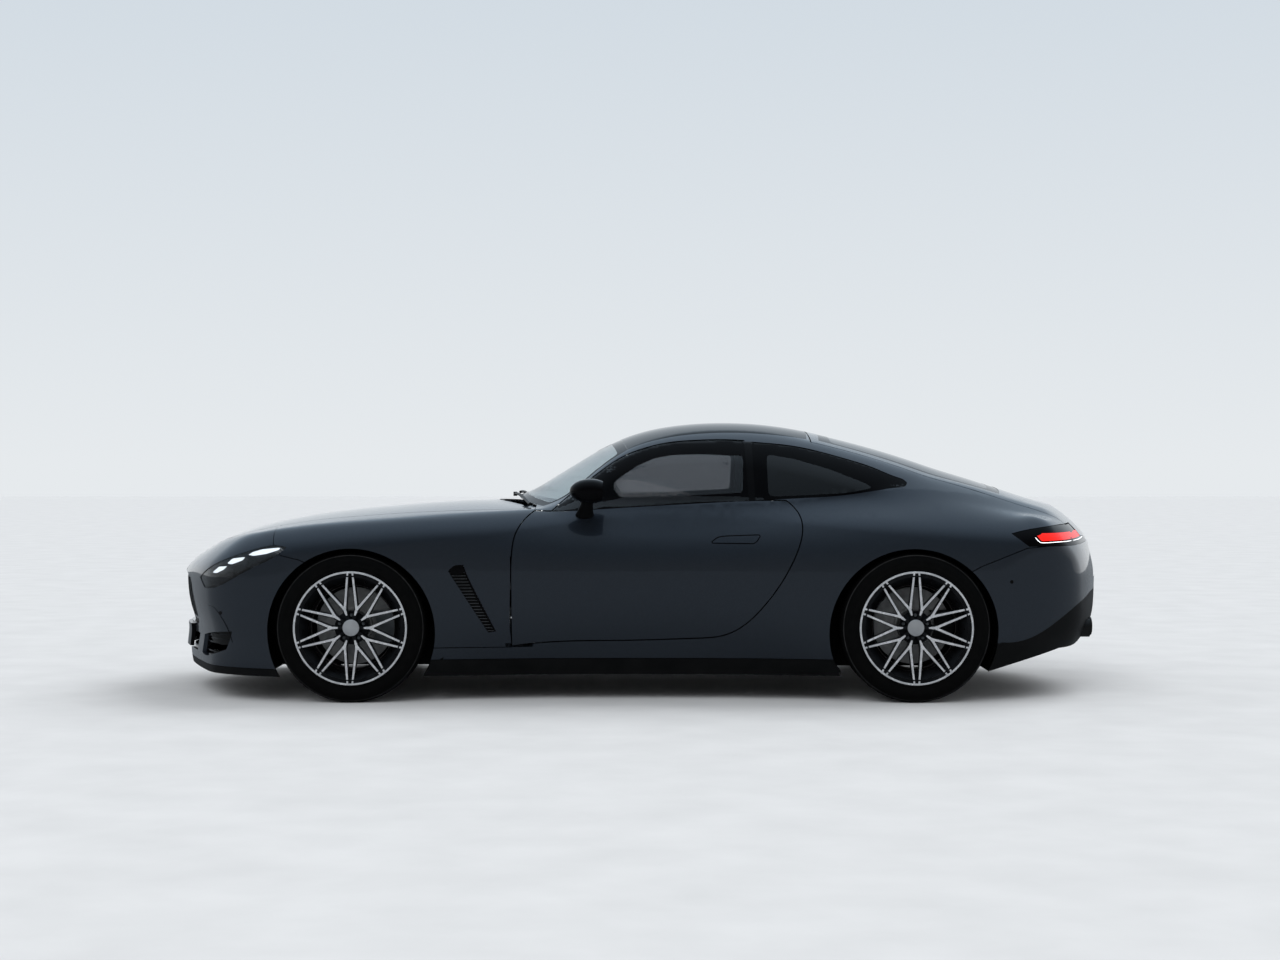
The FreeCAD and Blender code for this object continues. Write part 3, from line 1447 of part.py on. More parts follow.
def main():
    door = make_door()
    glass = make_door_glass()
    mirror = make_mirror()
    side = make_body_side()
    knuckle = make_knuckle()
    pieces = {
        "bonnet": make_bonnet(), "front_bumper": make_front_bumper(), "grille": make_grille(),
        "front_fenders": make_front_fenders(), "headlamps": make_headlamps(),
        "headlamp_lenses": make_headlamp_lenses(), "windscreen": make_windscreen(),
        "roof_panel": make_roof_panel(), "body_side_left": side, "body_side_right": mirrored(side),
        "door_left": door, "door_right": mirrored(door), "door_window_left": glass,
        "door_window_right": mirrored(glass), "mirror_left": mirror, "mirror_right": mirrored(mirror),
        "quarter_windows": make_quarter_windows(), "tailgate": make_tailgate(),
        "rear_window": make_rear_window(), "rear_bumper": make_rear_bumper(),
        "tail_lamps": make_tail_lamps(), "lower_trim": make_lower_trim(),
        "underbody": make_underbody(), "bulkheads": make_bulkheads(),
        "arch_liners": make_arch_liners(), "seats": make_seats(), "dashboard": make_dashboard(),
        "steering_wheel": make_steering_wheel(), "engine_block": make_engine_block(),
        "radiator": make_radiator(), "suspension": make_suspension(), "wipers": make_wipers(),
        "exhaust": make_exhaust(), "knuckle_left": knuckle, "knuckle_right": mirrored(knuckle)}
    for end, x, wheel_y, tyre_width in (("front", front_axle_x, front_wheel_y, tyre_width_front),
                                        ("rear", rear_axle_x, rear_wheel_y, tyre_width_rear)):
        wheel = {"rim": make_rim(x, wheel_y, tyre_width), "tyre": make_tyre(x, wheel_y, tyre_width),
                 "disc": make_disc(x, wheel_y)}
        for kind, shape in wheel.items():
            pieces[kind + "_" + end + "_left"] = shape
            pieces[kind + "_" + end + "_right"] = mirrored(shape)
    for name, shape in pieces.items():
        save(name, shape)
        box_size = shape.BoundBox
        print(name, len(shape.Solids), shape.isValid(), round(shape.Volume / 1e6, 3),
              [round(v) for v in (box_size.XMin, box_size.XMax, box_size.YMin, box_size.YMax,
                                  box_size.ZMin, box_size.ZMax)])


main()
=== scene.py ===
import json
import math

import bmesh
import bpy
import numpy as np
from mathutils import Matrix, Vector, geometry

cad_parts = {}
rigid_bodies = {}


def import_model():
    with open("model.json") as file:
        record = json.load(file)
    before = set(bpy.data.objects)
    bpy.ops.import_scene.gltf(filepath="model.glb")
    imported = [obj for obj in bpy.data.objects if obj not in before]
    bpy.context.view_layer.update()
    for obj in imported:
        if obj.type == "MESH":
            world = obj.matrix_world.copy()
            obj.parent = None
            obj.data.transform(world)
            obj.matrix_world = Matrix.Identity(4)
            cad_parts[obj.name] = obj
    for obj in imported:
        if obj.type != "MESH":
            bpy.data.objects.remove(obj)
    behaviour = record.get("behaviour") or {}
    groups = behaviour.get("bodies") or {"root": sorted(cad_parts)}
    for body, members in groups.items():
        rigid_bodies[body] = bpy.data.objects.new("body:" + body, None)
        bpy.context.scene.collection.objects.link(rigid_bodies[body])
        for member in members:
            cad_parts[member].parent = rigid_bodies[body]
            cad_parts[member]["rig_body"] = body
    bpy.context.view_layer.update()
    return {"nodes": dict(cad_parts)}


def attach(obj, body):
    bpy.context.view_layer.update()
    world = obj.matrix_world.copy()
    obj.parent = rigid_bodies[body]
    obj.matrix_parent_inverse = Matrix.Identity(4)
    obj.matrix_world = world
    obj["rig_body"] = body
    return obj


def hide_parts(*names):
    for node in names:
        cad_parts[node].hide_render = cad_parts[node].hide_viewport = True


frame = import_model()
print("stage: frame loaded")

# the body's own surface, in millimetres, from the same curves as the construction's: x runs back from the
# middle, y to the right, z up from the floor; the rows are shares of the two sizes named after them
length, halfWidth, height = 4728.0, 992.0, 1354.0
skinFacts = {
    "frontBow": .076, "rearBow": .062, "frontRound": 170.0, "rearRound": 22.0, "rearRoundLow": 168.0,
    "roofCrown": .055, "glassLean": .5, "glassCurve": .39, "glassSteep": .88, "bowTip": .12, "bowCorner": .03,
    "waist": .458, "flank": .244 * 1984 / 1.467, "bonnetWidth": .8, "bowWidth": .75, "roofWidth": .6,
    "rearRoundTop": .66, "rearRoundSpan": .22,
}


def naturalCurve(rows, xScale, yScale):
    # natural cubic spline through the rows, straight on beyond its ends
    xs = np.array([r[0] for r in rows]) * xScale
    ys = np.array([r[1] for r in rows]) * yScale
    n, h = len(xs), np.diff(xs)
    matrix, right = np.eye(n), np.zeros(n)
    for i in range(1, n - 1):
        matrix[i, i - 1:i + 2] = h[i - 1], 2 * (h[i - 1] + h[i]), h[i]
        right[i] = 6 * ((ys[i + 1] - ys[i]) / h[i] - (ys[i] - ys[i - 1]) / h[i - 1])
    m = np.linalg.solve(matrix, right)
    first = (ys[1] - ys[0]) / h[0] - h[0] * m[1] / 6 - h[0] * m[0] / 3
    last = (ys[-1] - ys[-2]) / h[-1] + h[-1] * m[-2] / 6 + h[-1] * m[-1] / 3

    def value(x):
        x = np.asarray(x, float)
        i = np.clip(np.searchsorted(xs, x) - 1, 0, n - 2)
        a, b = (xs[i + 1] - x) / h[i], (x - xs[i]) / h[i]
        inside = a * ys[i] + b * ys[i + 1] + ((a**3 - a) * m[i] + (b**3 - b) * m[i + 1]) * h[i]**2 / 6
        out = np.where(x < xs[0], ys[0] + first * (x - xs[0]), inside)
        return np.where(x > xs[-1], ys[-1] + last * (x - xs[-1]), out)
    return value


bonnetLine = naturalCurve([
    (-.53, .400), (-.50, .4560), (-.48, .500), (-.4655, .5266), (-.438, .5746), (-.4105, .6086),
    (-.3828, .6322), (-.3278, .6632), (-.2726, .6824), (-.2176, .6975), (-.16, .705), (-.05, .703),
    (.08, .70), (.2, .695), (.32, .688), (.40, .672), (.45, .652), (.485, .61), (.52, .55)], length, height)
roofLine = naturalCurve([
    (-.25, .40), (-.18, .595), (-.129, .720), (-.0814, .8215), (-.0573, .873), (-.0237, .9325),
    (0, .962), (.0387, .989), (.0867, 1.0), (.1347, .9925), (.1779, .970), (.22, .9365), (.26, .899),
    (.3105, .8425), (.3615, .778), (.395, .735), (.425, .707), (.455, .690), (.5, .68)], length, height)
noseLine = naturalCurve([
    (.08, -.492), (.15, -.4945), (.23, -.4930), (.31, -.4990), (.37, -.5018), (.41, -.5024),
    (.46, -.5014), (.51, -.495), (.57, -.486)], height, length)
tailLine = naturalCurve([
    (.10, .462), (.17, .482), (.25, .4955), (.33, .4993), (.40, .500), (.443, .5), (.487, .498),
    (.554, .4917), (.606, .481), (.654, .4657), (.70, .448)], height, length)
planLine = naturalCurve([
    (-.5, .90), (-.4, .960), (-.30, .999), (-.20, .975), (-.12, .945), (0, .932), (.10, .942),
    (.2, .982), (.28, 1.0), (.35, .988), (.42, .95), (.5, .87)], length, halfWidth)
leanLine = naturalCurve([
    (-.5, .10), (-.38, .06), (-.29, .05), (-.2, .07), (-.1, .13), (.1, .15), (.2, .13), (.3, .10),
    (.4, .11), (.5, .12)], length, halfWidth)
tuckLine = naturalCurve([
    (-.5, .04), (-.3, .008), (-.2, .03), (-.1, .05), (.12, .05), (.2, .03), (.28, .006), (.4, .05),
    (.5, .1)], length, halfWidth)
bonnetCrown = naturalCurve([
    (-.5, .03), (-.28, .030), (-.12, .030), (-.05, .012), (.1, 0), (.3, .012), (.5, .02)], length, height)
beltY = naturalCurve([
    (-.2, .76), (-.09, .79), (0, .806), (.09, .81), (.17, .80), (.25, .762), (.3, .725), (.36, .67),
    (.42, .625), (.5, .58)], length, halfWidth)
beltZ = naturalCurve([
    (-.2, .66), (-.09, .672), (.06, .70), (.17, .718), (.25, .75), (.35, .73), (.5, .65)], length, height)
bowLine = naturalCurve([
    (-.25, .034), (-.13, .034), (-.08, .026), (-.02, .008), (.05, 0), (.2, -.008), (.5, -.012)],
    length, length)
shoulderRound = naturalCurve([
    (-.5, .045), (-.45, .063), (-.38, .089), (-.25, .089), (-.1, .06), (.1, .056), (.22, .081),
    (.33, .096), (.42, .08), (.5, .035)], length, height)
roofRound = naturalCurve([
    (-.2, .045), (-.05, .045), (.05, .08), (.2, .089), (.4, .074), (.5, .045)], length, height)
joinRound = naturalCurve([
    (-.2, .045), (-.1, .052), (.1, .05), (.2, .06), (.27, .10), (.33, .15), (.39, .13), (.44, .05),
    (.47, .012), (.55, .01)], length, height)


def roundMax(a, b, r):
    # what both fields enclose, the crease rounded by r
    u, v = np.maximum(a + r, 0), np.maximum(b + r, 0)
    return np.where((u > 0) | (v > 0), np.minimum(np.maximum(a, b), -r) + np.hypot(u, v), np.maximum(a, b))


def roundMin(a, b, r):
    # what either field encloses, the crease filled by r
    return np.maximum(np.minimum(a, b), r) - np.hypot(np.maximum(r - a, 0), np.maximum(r - b, 0))


def endBow(q, depth):
    # how far an end falls back at a share of the half width, and the slope's effect on distance
    tip, corner = skinFacts["bowTip"], skinFacts["bowCorner"] * length
    root = np.hypot(q, tip)
    slope = (depth * q / root + 6 * corner * q**5) / halfWidth
    return depth * (root - tip) + corner * q**6, np.hypot(1, slope)


def bodyField(x, y, z):
    # distance outside the painted skin in millimetres, negative inside
    y = np.abs(y)
    q = y / halfWidth
    step = length / 950
    rise = (z - skinFacts["waist"] * height) / skinFacts["flank"]
    side = y - planLine(x) + np.where(rise > 0, leanLine(x), tuckLine(x)) * rise * rise
    fall, steep = endBow(q, skinFacts["frontBow"] * length)
    front = (noseLine(z) + fall - x) / steep
    fall, steep = endBow(q, skinFacts["rearBow"] * length)
    rear = (x - tailLine(z) + fall) / steep
    slope = (bonnetLine(x + step) - bonnetLine(x - step)) / (2 * step)
    top = (z - bonnetLine(x) + bonnetCrown(x) * (q / skinFacts["bonnetWidth"])**2) / np.hypot(1, slope)
    lower = roundMax(roundMax(side, front, skinFacts["frontRound"]), top, shoulderRound(x))
    along = x - bowLine(x) * (q / skinFacts["bowWidth"])**2
    slope = (roofLine(along + step) - roofLine(along - step)) / (2 * step)
    crown = skinFacts["roofCrown"] * height * (q / skinFacts["roofWidth"])**2
    roof = (z - roofLine(along) + crown) / np.hypot(1, slope)
    up = np.maximum(z - beltZ(x), 0)
    lean = skinFacts["glassLean"] * up + skinFacts["glassCurve"] * up * up / height
    glass = (y - beltY(x) + lean) * skinFacts["glassSteep"]
    whole = roundMin(lower, roundMax(roof, glass, roofRound(x)), joinRound(x))
    corner = np.clip((skinFacts["rearRoundTop"] - z / height) / skinFacts["rearRoundSpan"], 0, 1)
    corner = corner * corner * (3 - 2 * corner)
    return roundMax(whole, rear, skinFacts["rearRound"] + skinFacts["rearRoundLow"] * corner)


def bodyNormal(points):
    # unit gradient of the field at points in metres
    x, y, z = (points * 1000).T
    e = 1.0
    gradient = np.stack([bodyField(x + e, y, z) - bodyField(x - e, y, z),
                         bodyField(x, y + e, z) - bodyField(x, y - e, z),
                         bodyField(x, y, z + e) - bodyField(x, y, z - e)], 1)
    return gradient / np.maximum(np.linalg.norm(gradient, axis=1, keepdims=True), 1e-9)


def skinEdge(inside, low, high):
    # where the body ends between two distances in millimetres, in metres, by bisection
    for _ in range(30):
        middle = (low + high) / 2
        within = inside(middle)
        low, high = np.where(within, middle, low), np.where(within, high, middle)
    return low / 1000


def skinY(x, z, depth=0.0):
    # how far out the surface lies at side-view places x, z in metres, depth in millimetres below the skin
    x, z = np.asarray(x, float) * 1000, np.asarray(z, float) * 1000
    widest = np.full_like(x, 1.1 * halfWidth)
    return skinEdge(lambda y: bodyField(x, y, z) + depth < 0, np.zeros_like(x), widest)


def skinZ(x, y, depth=0.0):
    # height of the surface over places x, y
    x, y = np.asarray(x, float) * 1000, np.asarray(y, float) * 1000
    lowest, highest = np.full_like(x, 500.0), np.full_like(x, 1400.0)
    return skinEdge(lambda z: bodyField(x, y, z) + depth < 0, lowest, highest)


# mesh tools

twoSides = (("left", -1), ("right", 1))
fullTurn = 2 * math.pi


def linked(name, data, materials=()):
    # an object for the mesh, light or camera, in the scene, with these materials added
    piece = bpy.data.objects.new(name, data)
    bpy.context.scene.collection.objects.link(piece)
    for material in materials:
        data.materials.append(material)
    return piece


def readOff(items, key, width=1, kind=float):
    # one property of all the items as an array
    values = np.zeros(len(items) * width, kind)
    items.foreach_get(key, values)
    return values.reshape(-1, width) if width > 1 else values


def shadeByAngle(mesh, angle=35.0):
    mesh.polygons.foreach_set("use_smooth", np.ones(len(mesh.polygons), bool))
    mesh.set_sharp_from_angle(angle=math.radians(angle))
    mesh.update()


def turnOut(piece, angle=35.0):
    # normals worked out again, after doubles are merged
    b = bmesh.new()
    b.from_mesh(piece.data)
    bmesh.ops.remove_doubles(b, verts=b.verts, dist=1e-6)
    bmesh.ops.recalc_face_normals(b, faces=b.faces)
    b.to_mesh(piece.data)
    b.free()
    shadeByAngle(piece.data, angle)
    return piece


def meshPiece(name, points, faces, material, angle=35.0):
    # a closed shell at the origin with its place in its mesh, smooth below that angle
    mesh = bpy.data.meshes.new(name)
    mesh.from_pydata([tuple(p) for p in points], [], [tuple(f) for f in faces])
    mesh.validate()
    return turnOut(linked(name, mesh, [material]), angle)


def ringFaces(rows, around, closed=False):
    # quads between neighbouring rows of points, with end caps where the rows don't close on themselves
    faces = [(i * around + j, i * around + (j + 1) % around,
              (i + 1) % rows * around + (j + 1) % around, (i + 1) % rows * around + j)
             for i in range(rows if closed else rows - 1) for j in range(around)]
    if not closed:
        faces += [tuple(range(around))[::-1], tuple(range((rows - 1) * around, rows * around))]
    return faces


def mergedCopy(node):
    # the node's own shape as a fresh mesh with its doubles merged
    b = bmesh.new()
    b.from_mesh(frame["nodes"][node].data)
    bmesh.ops.remove_doubles(b, verts=b.verts, dist=2e-6)
    bmesh.ops.dissolve_degenerate(b, edges=b.edges, dist=1e-7)
    mesh = bpy.data.meshes.new(node)
    b.to_mesh(mesh)
    b.free()
    return mesh


def seat(piece, body, nodes=()):
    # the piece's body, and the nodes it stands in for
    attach(piece, body)
    if nodes:
        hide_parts(*nodes)
    return piece


followsAbove = .93  # a face follows the true surface where its normal agrees this far with the field's


def skinShaded(node, name, material):
    # the node's shape in one finish, its wide faces shaded from the true surface
    mesh = mergedCopy(node)
    normals = bodyNormal(readOff(mesh.vertices, "co", 3))
    faceNormals = readOff(mesh.polygons, "normal", 3)
    corners = readOff(mesh.loops, "vertex_index", kind=np.int32)
    owner = np.repeat(np.arange(len(mesh.polygons)), readOff(mesh.polygons, "loop_total", kind=np.int32))
    along = np.sum(faceNormals[owner] * normals[corners], 1)
    lowest = np.full(len(mesh.polygons), 9.0)
    np.minimum.at(lowest, owner, np.abs(along))
    follows = lowest > followsAbove
    custom = np.where(follows[owner][:, None], np.sign(along)[:, None] * normals[corners], 0.0)
    shadeByAngle(mesh, 30)
    mesh.normals_split_custom_set([tuple(v) for v in custom])
    seat(linked(name, mesh, [material]), frame["nodes"][node]["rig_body"], [node])


def insideLoop(points, loop):
    # which of the points lie inside the closed loop
    x, y = points[:, 0], points[:, 1]
    inside = np.zeros(len(points), bool)
    for (ax, ay), (bx, by) in zip(loop, np.roll(loop, -1, 0)):
        crosses = (ay > y) != (by > y)
        with np.errstate(divide="ignore", invalid="ignore"):
            at = ax + (y - ay) * (bx - ax) / np.where(by == ay, 1e-12, by - ay)
        inside ^= crosses & (x < at)
    return inside


def roundedLoop(corners, radius, steps=5):
    # closed loop through the corners, each cut by an arc of about that radius
    corners = [np.array(c, float) for c in corners]
    out = []
    for i, c in enumerate(corners):
        a, b = corners[i - 1] - c, corners[(i + 1) % len(corners)] - c
        la, lb = np.linalg.norm(a), np.linalg.norm(b)
        r = min(radius, .45 * la, .45 * lb)
        p, q = c + a / la * r, c + b / lb * r
        for k in range(steps + 1):
            t = k / steps
            out.append((1 - t)**2 * p + 2 * t * (1 - t) * c + t * t * q)
    return np.array(out)


def grownLoop(loop, amount):
    # the loop moved outwards along its own corner normals
    p = np.array(loop, float)
    way = np.roll(p, -1, 0) - np.roll(p, 1, 0)
    way /= np.maximum(np.linalg.norm(way, axis=1, keepdims=True), 1e-12)
    area = np.sum(p[:, 0] * np.roll(p[:, 1], -1) - np.roll(p[:, 0], -1) * p[:, 1])
    out = np.stack([way[:, 1], -way[:, 0]], 1) * (1 if area > 0 else -1)
    return p + out * amount


def openLine(points, steps=8):
    # Catmull-Rom line through the points
    p = np.array(points, float)
    p = np.vstack([2 * p[0] - p[1], p, 2 * p[-1] - p[-2]])
    out = []
    for i in range(1, len(p) - 2):
        a, b, c, d = p[i - 1], p[i], p[i + 1], p[i + 2]
        for k in range(steps):
            t = k / steps
            out.append(.5 * ((2 * b) + (c - a) * t + (2 * a - 5 * b + 4 * c - d) * t * t
                             + (3 * b - a - 3 * c + d) * t**3))
    return np.array(out + [p[-2]])


def densified(loop, step):
    # the closed loop with points no further apart than the step
    out = []
    for a, b in zip(loop, np.roll(loop, -1, 0)):
        n = max(1, int(math.ceil(np.linalg.norm(b - a) / step)))
        out += [a + (b - a) * k / n for k in range(n)]
    return np.array(out)


def skinPatch(name, loop, depths, material, holes=(), step=.012, fromAbove=False, side=-1):
    # closed shell between two depths in millimetres below the skin, over an outline in side view
    # or, with fromAbove, over an outline seen from above
    loops = [densified(np.array(ring, float), step) for ring in (loop, *holes)]

    def between(places):
        keep = insideLoop(places, loops[0])
        for ring in loops[1:]:
            keep &= ~insideLoop(places, ring)
        return keep

    flat, edges = [], []
    for ring in loops:
        start = len(flat)
        flat += [tuple(p) for p in ring]
        edges += [(start + i, start + (i + 1) % len(ring)) for i in range(len(ring))]
    low, high = loops[0].min(0), loops[0].max(0)
    grid = np.stack(np.meshgrid(np.arange(low[0] + step / 2, high[0], step),
                                np.arange(low[1] + step / 2, high[1], step)), -1).reshape(-1, 2)
    border = np.vstack(loops)
    grid = grid[between(grid)]
    if len(grid):
        clear = np.min(np.linalg.norm(grid[:, None] - border[None], axis=2), axis=1) > step * .45
        flat += [tuple(p) for p in grid[clear]]
    result = geometry.delaunay_2d_cdt([Vector(p) for p in flat], edges, [], 0, 1e-7)
    verts = np.array([tuple(v) for v in result[0]])
    faces = np.array([f for f in result[2]])
    faces = faces[between(verts[faces].mean(1))]
    used = np.unique(faces)
    number = np.full(len(verts), -1)
    number[used] = np.arange(len(used))
    verts, faces = verts[used], number[faces]
    a, b = verts.T
    shells = [np.stack([a, b, skinZ(a, b, depth)] if fromAbove else [a, side * skinY(a, b, depth), b], 1)
              for depth in depths]
    n = len(verts)
    sense = {(f[i], f[(i + 1) % 3]): True for f in faces for i in range(3)}
    walls = [(i, j, j + n, i + n) for i, j in sense if (j, i) not in sense]
    allFaces = [tuple(f) for f in faces] + [tuple(f[::-1] + n) for f in faces] + walls
    return meshPiece(name, np.vstack(shells), allFaces, material)


def tube(name, points, radius, material, sides=10, flat=1.0):
    # round bar through the points, with closed ends
    p = np.array(points, float)
    way = np.gradient(p, axis=0)
    way /= np.linalg.norm(way, axis=1, keepdims=True)
    up = np.tile([0.0, 0.0, 1.0], (len(p), 1))
    side = np.cross(way, up)
    weak = np.linalg.norm(side, axis=1) < .2
    side[weak] = np.cross(way[weak], [0.0, 1.0, 0.0])
    side /= np.linalg.norm(side, axis=1, keepdims=True)
    top = np.cross(side, way)
    turn = np.linspace(0, fullTurn, sides, endpoint=False)
    ring = np.cos(turn)[None, :, None] * side[:, None] + flat * np.sin(turn)[None, :, None] * top[:, None]
    verts = (p[:, None] + radius * ring).reshape(-1, 3)
    return meshPiece(name, verts, ringFaces(len(p), sides), material)


def skinTube(name, line, depth, side, radius, material, sides=8, flat=1.0):
    # bar along a side-view line, its axis at a depth in millimetres below the skin
    ys = side * skinY(line[:, 0], line[:, 1], depth)
    return tube(name, np.stack([line[:, 0], ys, line[:, 1]], 1), radius, material, sides, flat)


def levelSlats(name, loop, levels, inset, count, depth, side, radius, material, sides):
    # flat bars across the side-view loop at those heights, each of count points from edge to edge
    rods = []
    for z in levels:
        xs = [ax + (z - az) * (bx - ax) / (bz - az)
              for (ax, az), (bx, bz) in zip(loop, np.roll(loop, -1, 0)) if (az > z) != (bz > z)]
        row = np.linspace(min(xs) + inset, max(xs) - inset, count)
        rods.append(skinTube("rod", np.stack([row, row * 0 + z], 1), depth, side, radius, material, sides, .5))
    return joined(name, rods)


def joined(name, pieces):
    # several fresh pieces as one, with each one's own material kept
    b = bmesh.new()
    materials = []
    for piece in pieces:
        picks = []
        for material in piece.data.materials:
            if material not in materials:
                materials.append(material)
            picks.append(materials.index(material))
        start = len(b.faces)
        b.from_mesh(piece.data)
        b.faces.ensure_lookup_table()
        for f in b.faces[start:]:
            f.material_index = picks[f.material_index]
    mesh = bpy.data.meshes.new(name)
    b.to_mesh(mesh)
    b.free()
    for piece in pieces:
        bpy.data.objects.remove(piece)
    whole = linked(name, mesh, materials)
    shadeByAngle(mesh)
    return whole


# materials: hex colours are sRGB, grain and pitch are millimetres

def linear(code):
    # sRGB hex colour as linear RGBA
    parts = [int(code[i:i + 2], 16) / 255 for i in (1, 3, 5)]
    return [p / 12.92 if p <= .04045 else ((p + .055) / 1.055)**2.4 for p in parts] + [1.0]


def wire(tree, node, values=None, links=None):
    # the node's plain inputs set, and others' outputs joined to it
    for key, value in (values or {}).items():
        node.inputs[key].default_value = value
    for key, (other, out) in (links or {}).items():
        tree.links.new(other.outputs[out], node.inputs[key])
    return node


def addNode(tree, kind, settings=None, values=None, links=None):
    node = tree.nodes.new(kind)
    for key, value in (settings or {}).items():
        setattr(node, key, value)
    return wire(tree, node, values, links)


def freshMaterial(name, centre=(0, 0, 0)):
    # the material, its tree, its surface shader and the link to centred object coordinates
    made = bpy.data.materials.new(name)
    made.use_nodes = True
    tree = made.node_tree
    shader = next(n for n in tree.nodes if n.type == "BSDF_PRINCIPLED")
    place = addNode(tree, "ShaderNodeTexCoord")
    centred = addNode(tree, "ShaderNodeMapping", values={"Location": [-c for c in centre]},
                      links={"Vector": (place, "Object")})
    return made, tree, shader, {"Vector": (centred, "Vector")}


def ramp(tree, source, out, stops):
    node = addNode(tree, "ShaderNodeValToRGB", links={"Fac": (source, out)})
    line = node.color_ramp
    while len(line.elements) < len(stops):
        line.elements.new(.5)
    for element, (at, colour) in zip(line.elements, stops):
        element.position, element.color = at, linear(colour)
    return node


def remapped(tree, source, out, ends, span=(0.0, 1.0)):
    # the output's span stretched between the two ends
    return addNode(tree, "ShaderNodeMapRange", links={"Value": (source, out)}, values={
        "From Min": span[0], "From Max": span[1], "To Min": ends[0], "To Max": ends[1]})


patchSize = 120.0  # broad colour patches of a worked surface, mm
middleSpan = (.3, .7)  # where nearly all of a noise's values lie


def surface(name, colours, roughs, metallic=0.0, grain=2.0, bump=.1, depth=.0004, ior=1.5, specular=.5):
    # a worked surface: broad colour patches, fine grain in roughness and bump
    made, tree, shader, here = freshMaterial(name)
    broad = addNode(tree, "ShaderNodeTexNoise", values={"Scale": 1000 / patchSize, "Detail": 3.0}, links=here)
    tint = ramp(tree, broad, "Fac", [(.35, colours[0]), (.65, colours[1])])
    fine = addNode(tree, "ShaderNodeTexNoise", values={"Scale": 1000 / grain, "Detail": 2.0}, links=here)
    rough = remapped(tree, fine, "Fac", roughs, middleSpan)
    relief = addNode(tree, "ShaderNodeBump", values={"Strength": bump, "Distance": depth},
                     links={"Height": (fine, "Fac")})
    wire(tree, shader, {"Metallic": metallic},
         {"Base Color": (tint, "Color"), "Roughness": (rough, "Result"), "Normal": (relief, "Normal")})
    if metallic < .5:
        wire(tree, shader, {"IOR": ior, "Specular IOR Level": specular})
    return made


def metallicPaint():
    # metallic lacquer over steel: aluminium flakes under a clear coat, so it darkens away from the light
    made, tree, shader, here = freshMaterial("MetallicLacquer")
    # real flakes are 0.03 mm: drawn at 0.7 mm so that a close view shows them
    flakes = addNode(tree, "ShaderNodeTexVoronoi", values={"Scale": 1400.0}, links=here)
    tint = ramp(tree, flakes, "Color", [(.0, paint["dark"]), (1.0, paint["light"])])
    peel = addNode(tree, "ShaderNodeTexNoise", values={"Scale": 160.0, "Detail": 1.0}, links=here)
    waves = addNode(tree, "ShaderNodeBump", values={"Strength": .02, "Distance": .0003},
                    links={"Height": (peel, "Fac")})
    rough = remapped(tree, flakes, "Distance", (paint["rough"] - .05, paint["rough"] + .05))
    wire(tree, shader,
         {"Metallic": paint["metallic"], "Coat Weight": 1.0, "Coat Roughness": .015, "Coat IOR": 1.5},
         {"Base Color": (tint, "Color"), "Roughness": (rough, "Result"), "Coat Normal": (waves, "Normal")})
    return made


def clearGlass(name, colour, ior, specular):
    # float glass or clear plastic, tinted in its body, with a faint ripple
    made, tree, shader, here = freshMaterial(name)
    wave = addNode(tree, "ShaderNodeTexNoise", values={"Scale": 6.0, "Detail": 1.0}, links=here)
    relief = addNode(tree, "ShaderNodeBump", values={"Strength": .01, "Distance": .002},
                     links={"Height": (wave, "Fac")})
    wire(tree, shader, {"Base Color": linear(colour), "Roughness": 0.0, "IOR": ior, "Transmission Weight": 1.0,
                        "Specular IOR Level": specular}, {"Normal": (relief, "Normal")})
    return made


def turnedSurface(name, axle, colours, roughs, metallic, pitch, bump, highlightBands=()):
    # rings about a wheel's axle, with wider bands of painted highlight (radius mm, colour, half width mm)
    made, tree, shader, here = freshMaterial(name, (axle[0], 0, axle[1]))
    parts = addNode(tree, "ShaderNodeSeparateXYZ", links=here)
    flat = addNode(tree, "ShaderNodeCombineXYZ", links={"X": (parts, "X"), "Y": (parts, "Z")})
    radius = addNode(tree, "ShaderNodeVectorMath", {"operation": "LENGTH"}, links={0: (flat, "Vector")})
    rings = addNode(tree, "ShaderNodeMath", {"operation": "MULTIPLY"}, {1: 1000 * fullTurn / pitch},
                    {0: (radius, "Value")})
    wave = addNode(tree, "ShaderNodeMath", {"operation": "SINE"}, links={0: (rings, "Value")})
    wearAndGlint = addNode(tree, "ShaderNodeTexNoise", values={"Scale": 30.0, "Detail": 4.0}, links=here)
    tint = (ramp(tree, wearAndGlint, "Fac", [(.3, colours[0]), (.7, colours[1])]), "Color")
    # each band is a painted highlight, broken into patches by the same noise as the wear
    for at, colour, half in highlightBands:
        off = addNode(tree, "ShaderNodeMath", {"operation": "SUBTRACT"}, {1: at / 1000}, {0: (radius, "Value")})
        size = addNode(tree, "ShaderNodeMath", {"operation": "ABSOLUTE"}, links={0: (off, "Value")})
        near = remapped(tree, size, "Value", (0.0, 1.0), (half / 1000, half / 2000))
        patchyHighlight = addNode(tree, "ShaderNodeMath", {"operation": "MULTIPLY"},
                         links={0: (near, "Result"), 1: (wearAndGlint, "Fac")})
        tint = (addNode(tree, "ShaderNodeMix", {"data_type": "RGBA"}, {"B": linear(colour)},
                        {"Factor": (patchyHighlight, "Value"), "A": tint}), "Result")
    rough = remapped(tree, wearAndGlint, "Fac", roughs, middleSpan)
    relief = addNode(tree, "ShaderNodeBump", values={"Strength": bump, "Distance": .0003},
                     links={"Height": (wave, "Value")})
    wire(tree, shader, {"Metallic": metallic},
         {"Base Color": tint, "Roughness": (rough, "Result"), "Normal": (relief, "Normal")})
    if metallic < .5:
        wire(tree, shader, {"Specular IOR Level": .14})
    return made


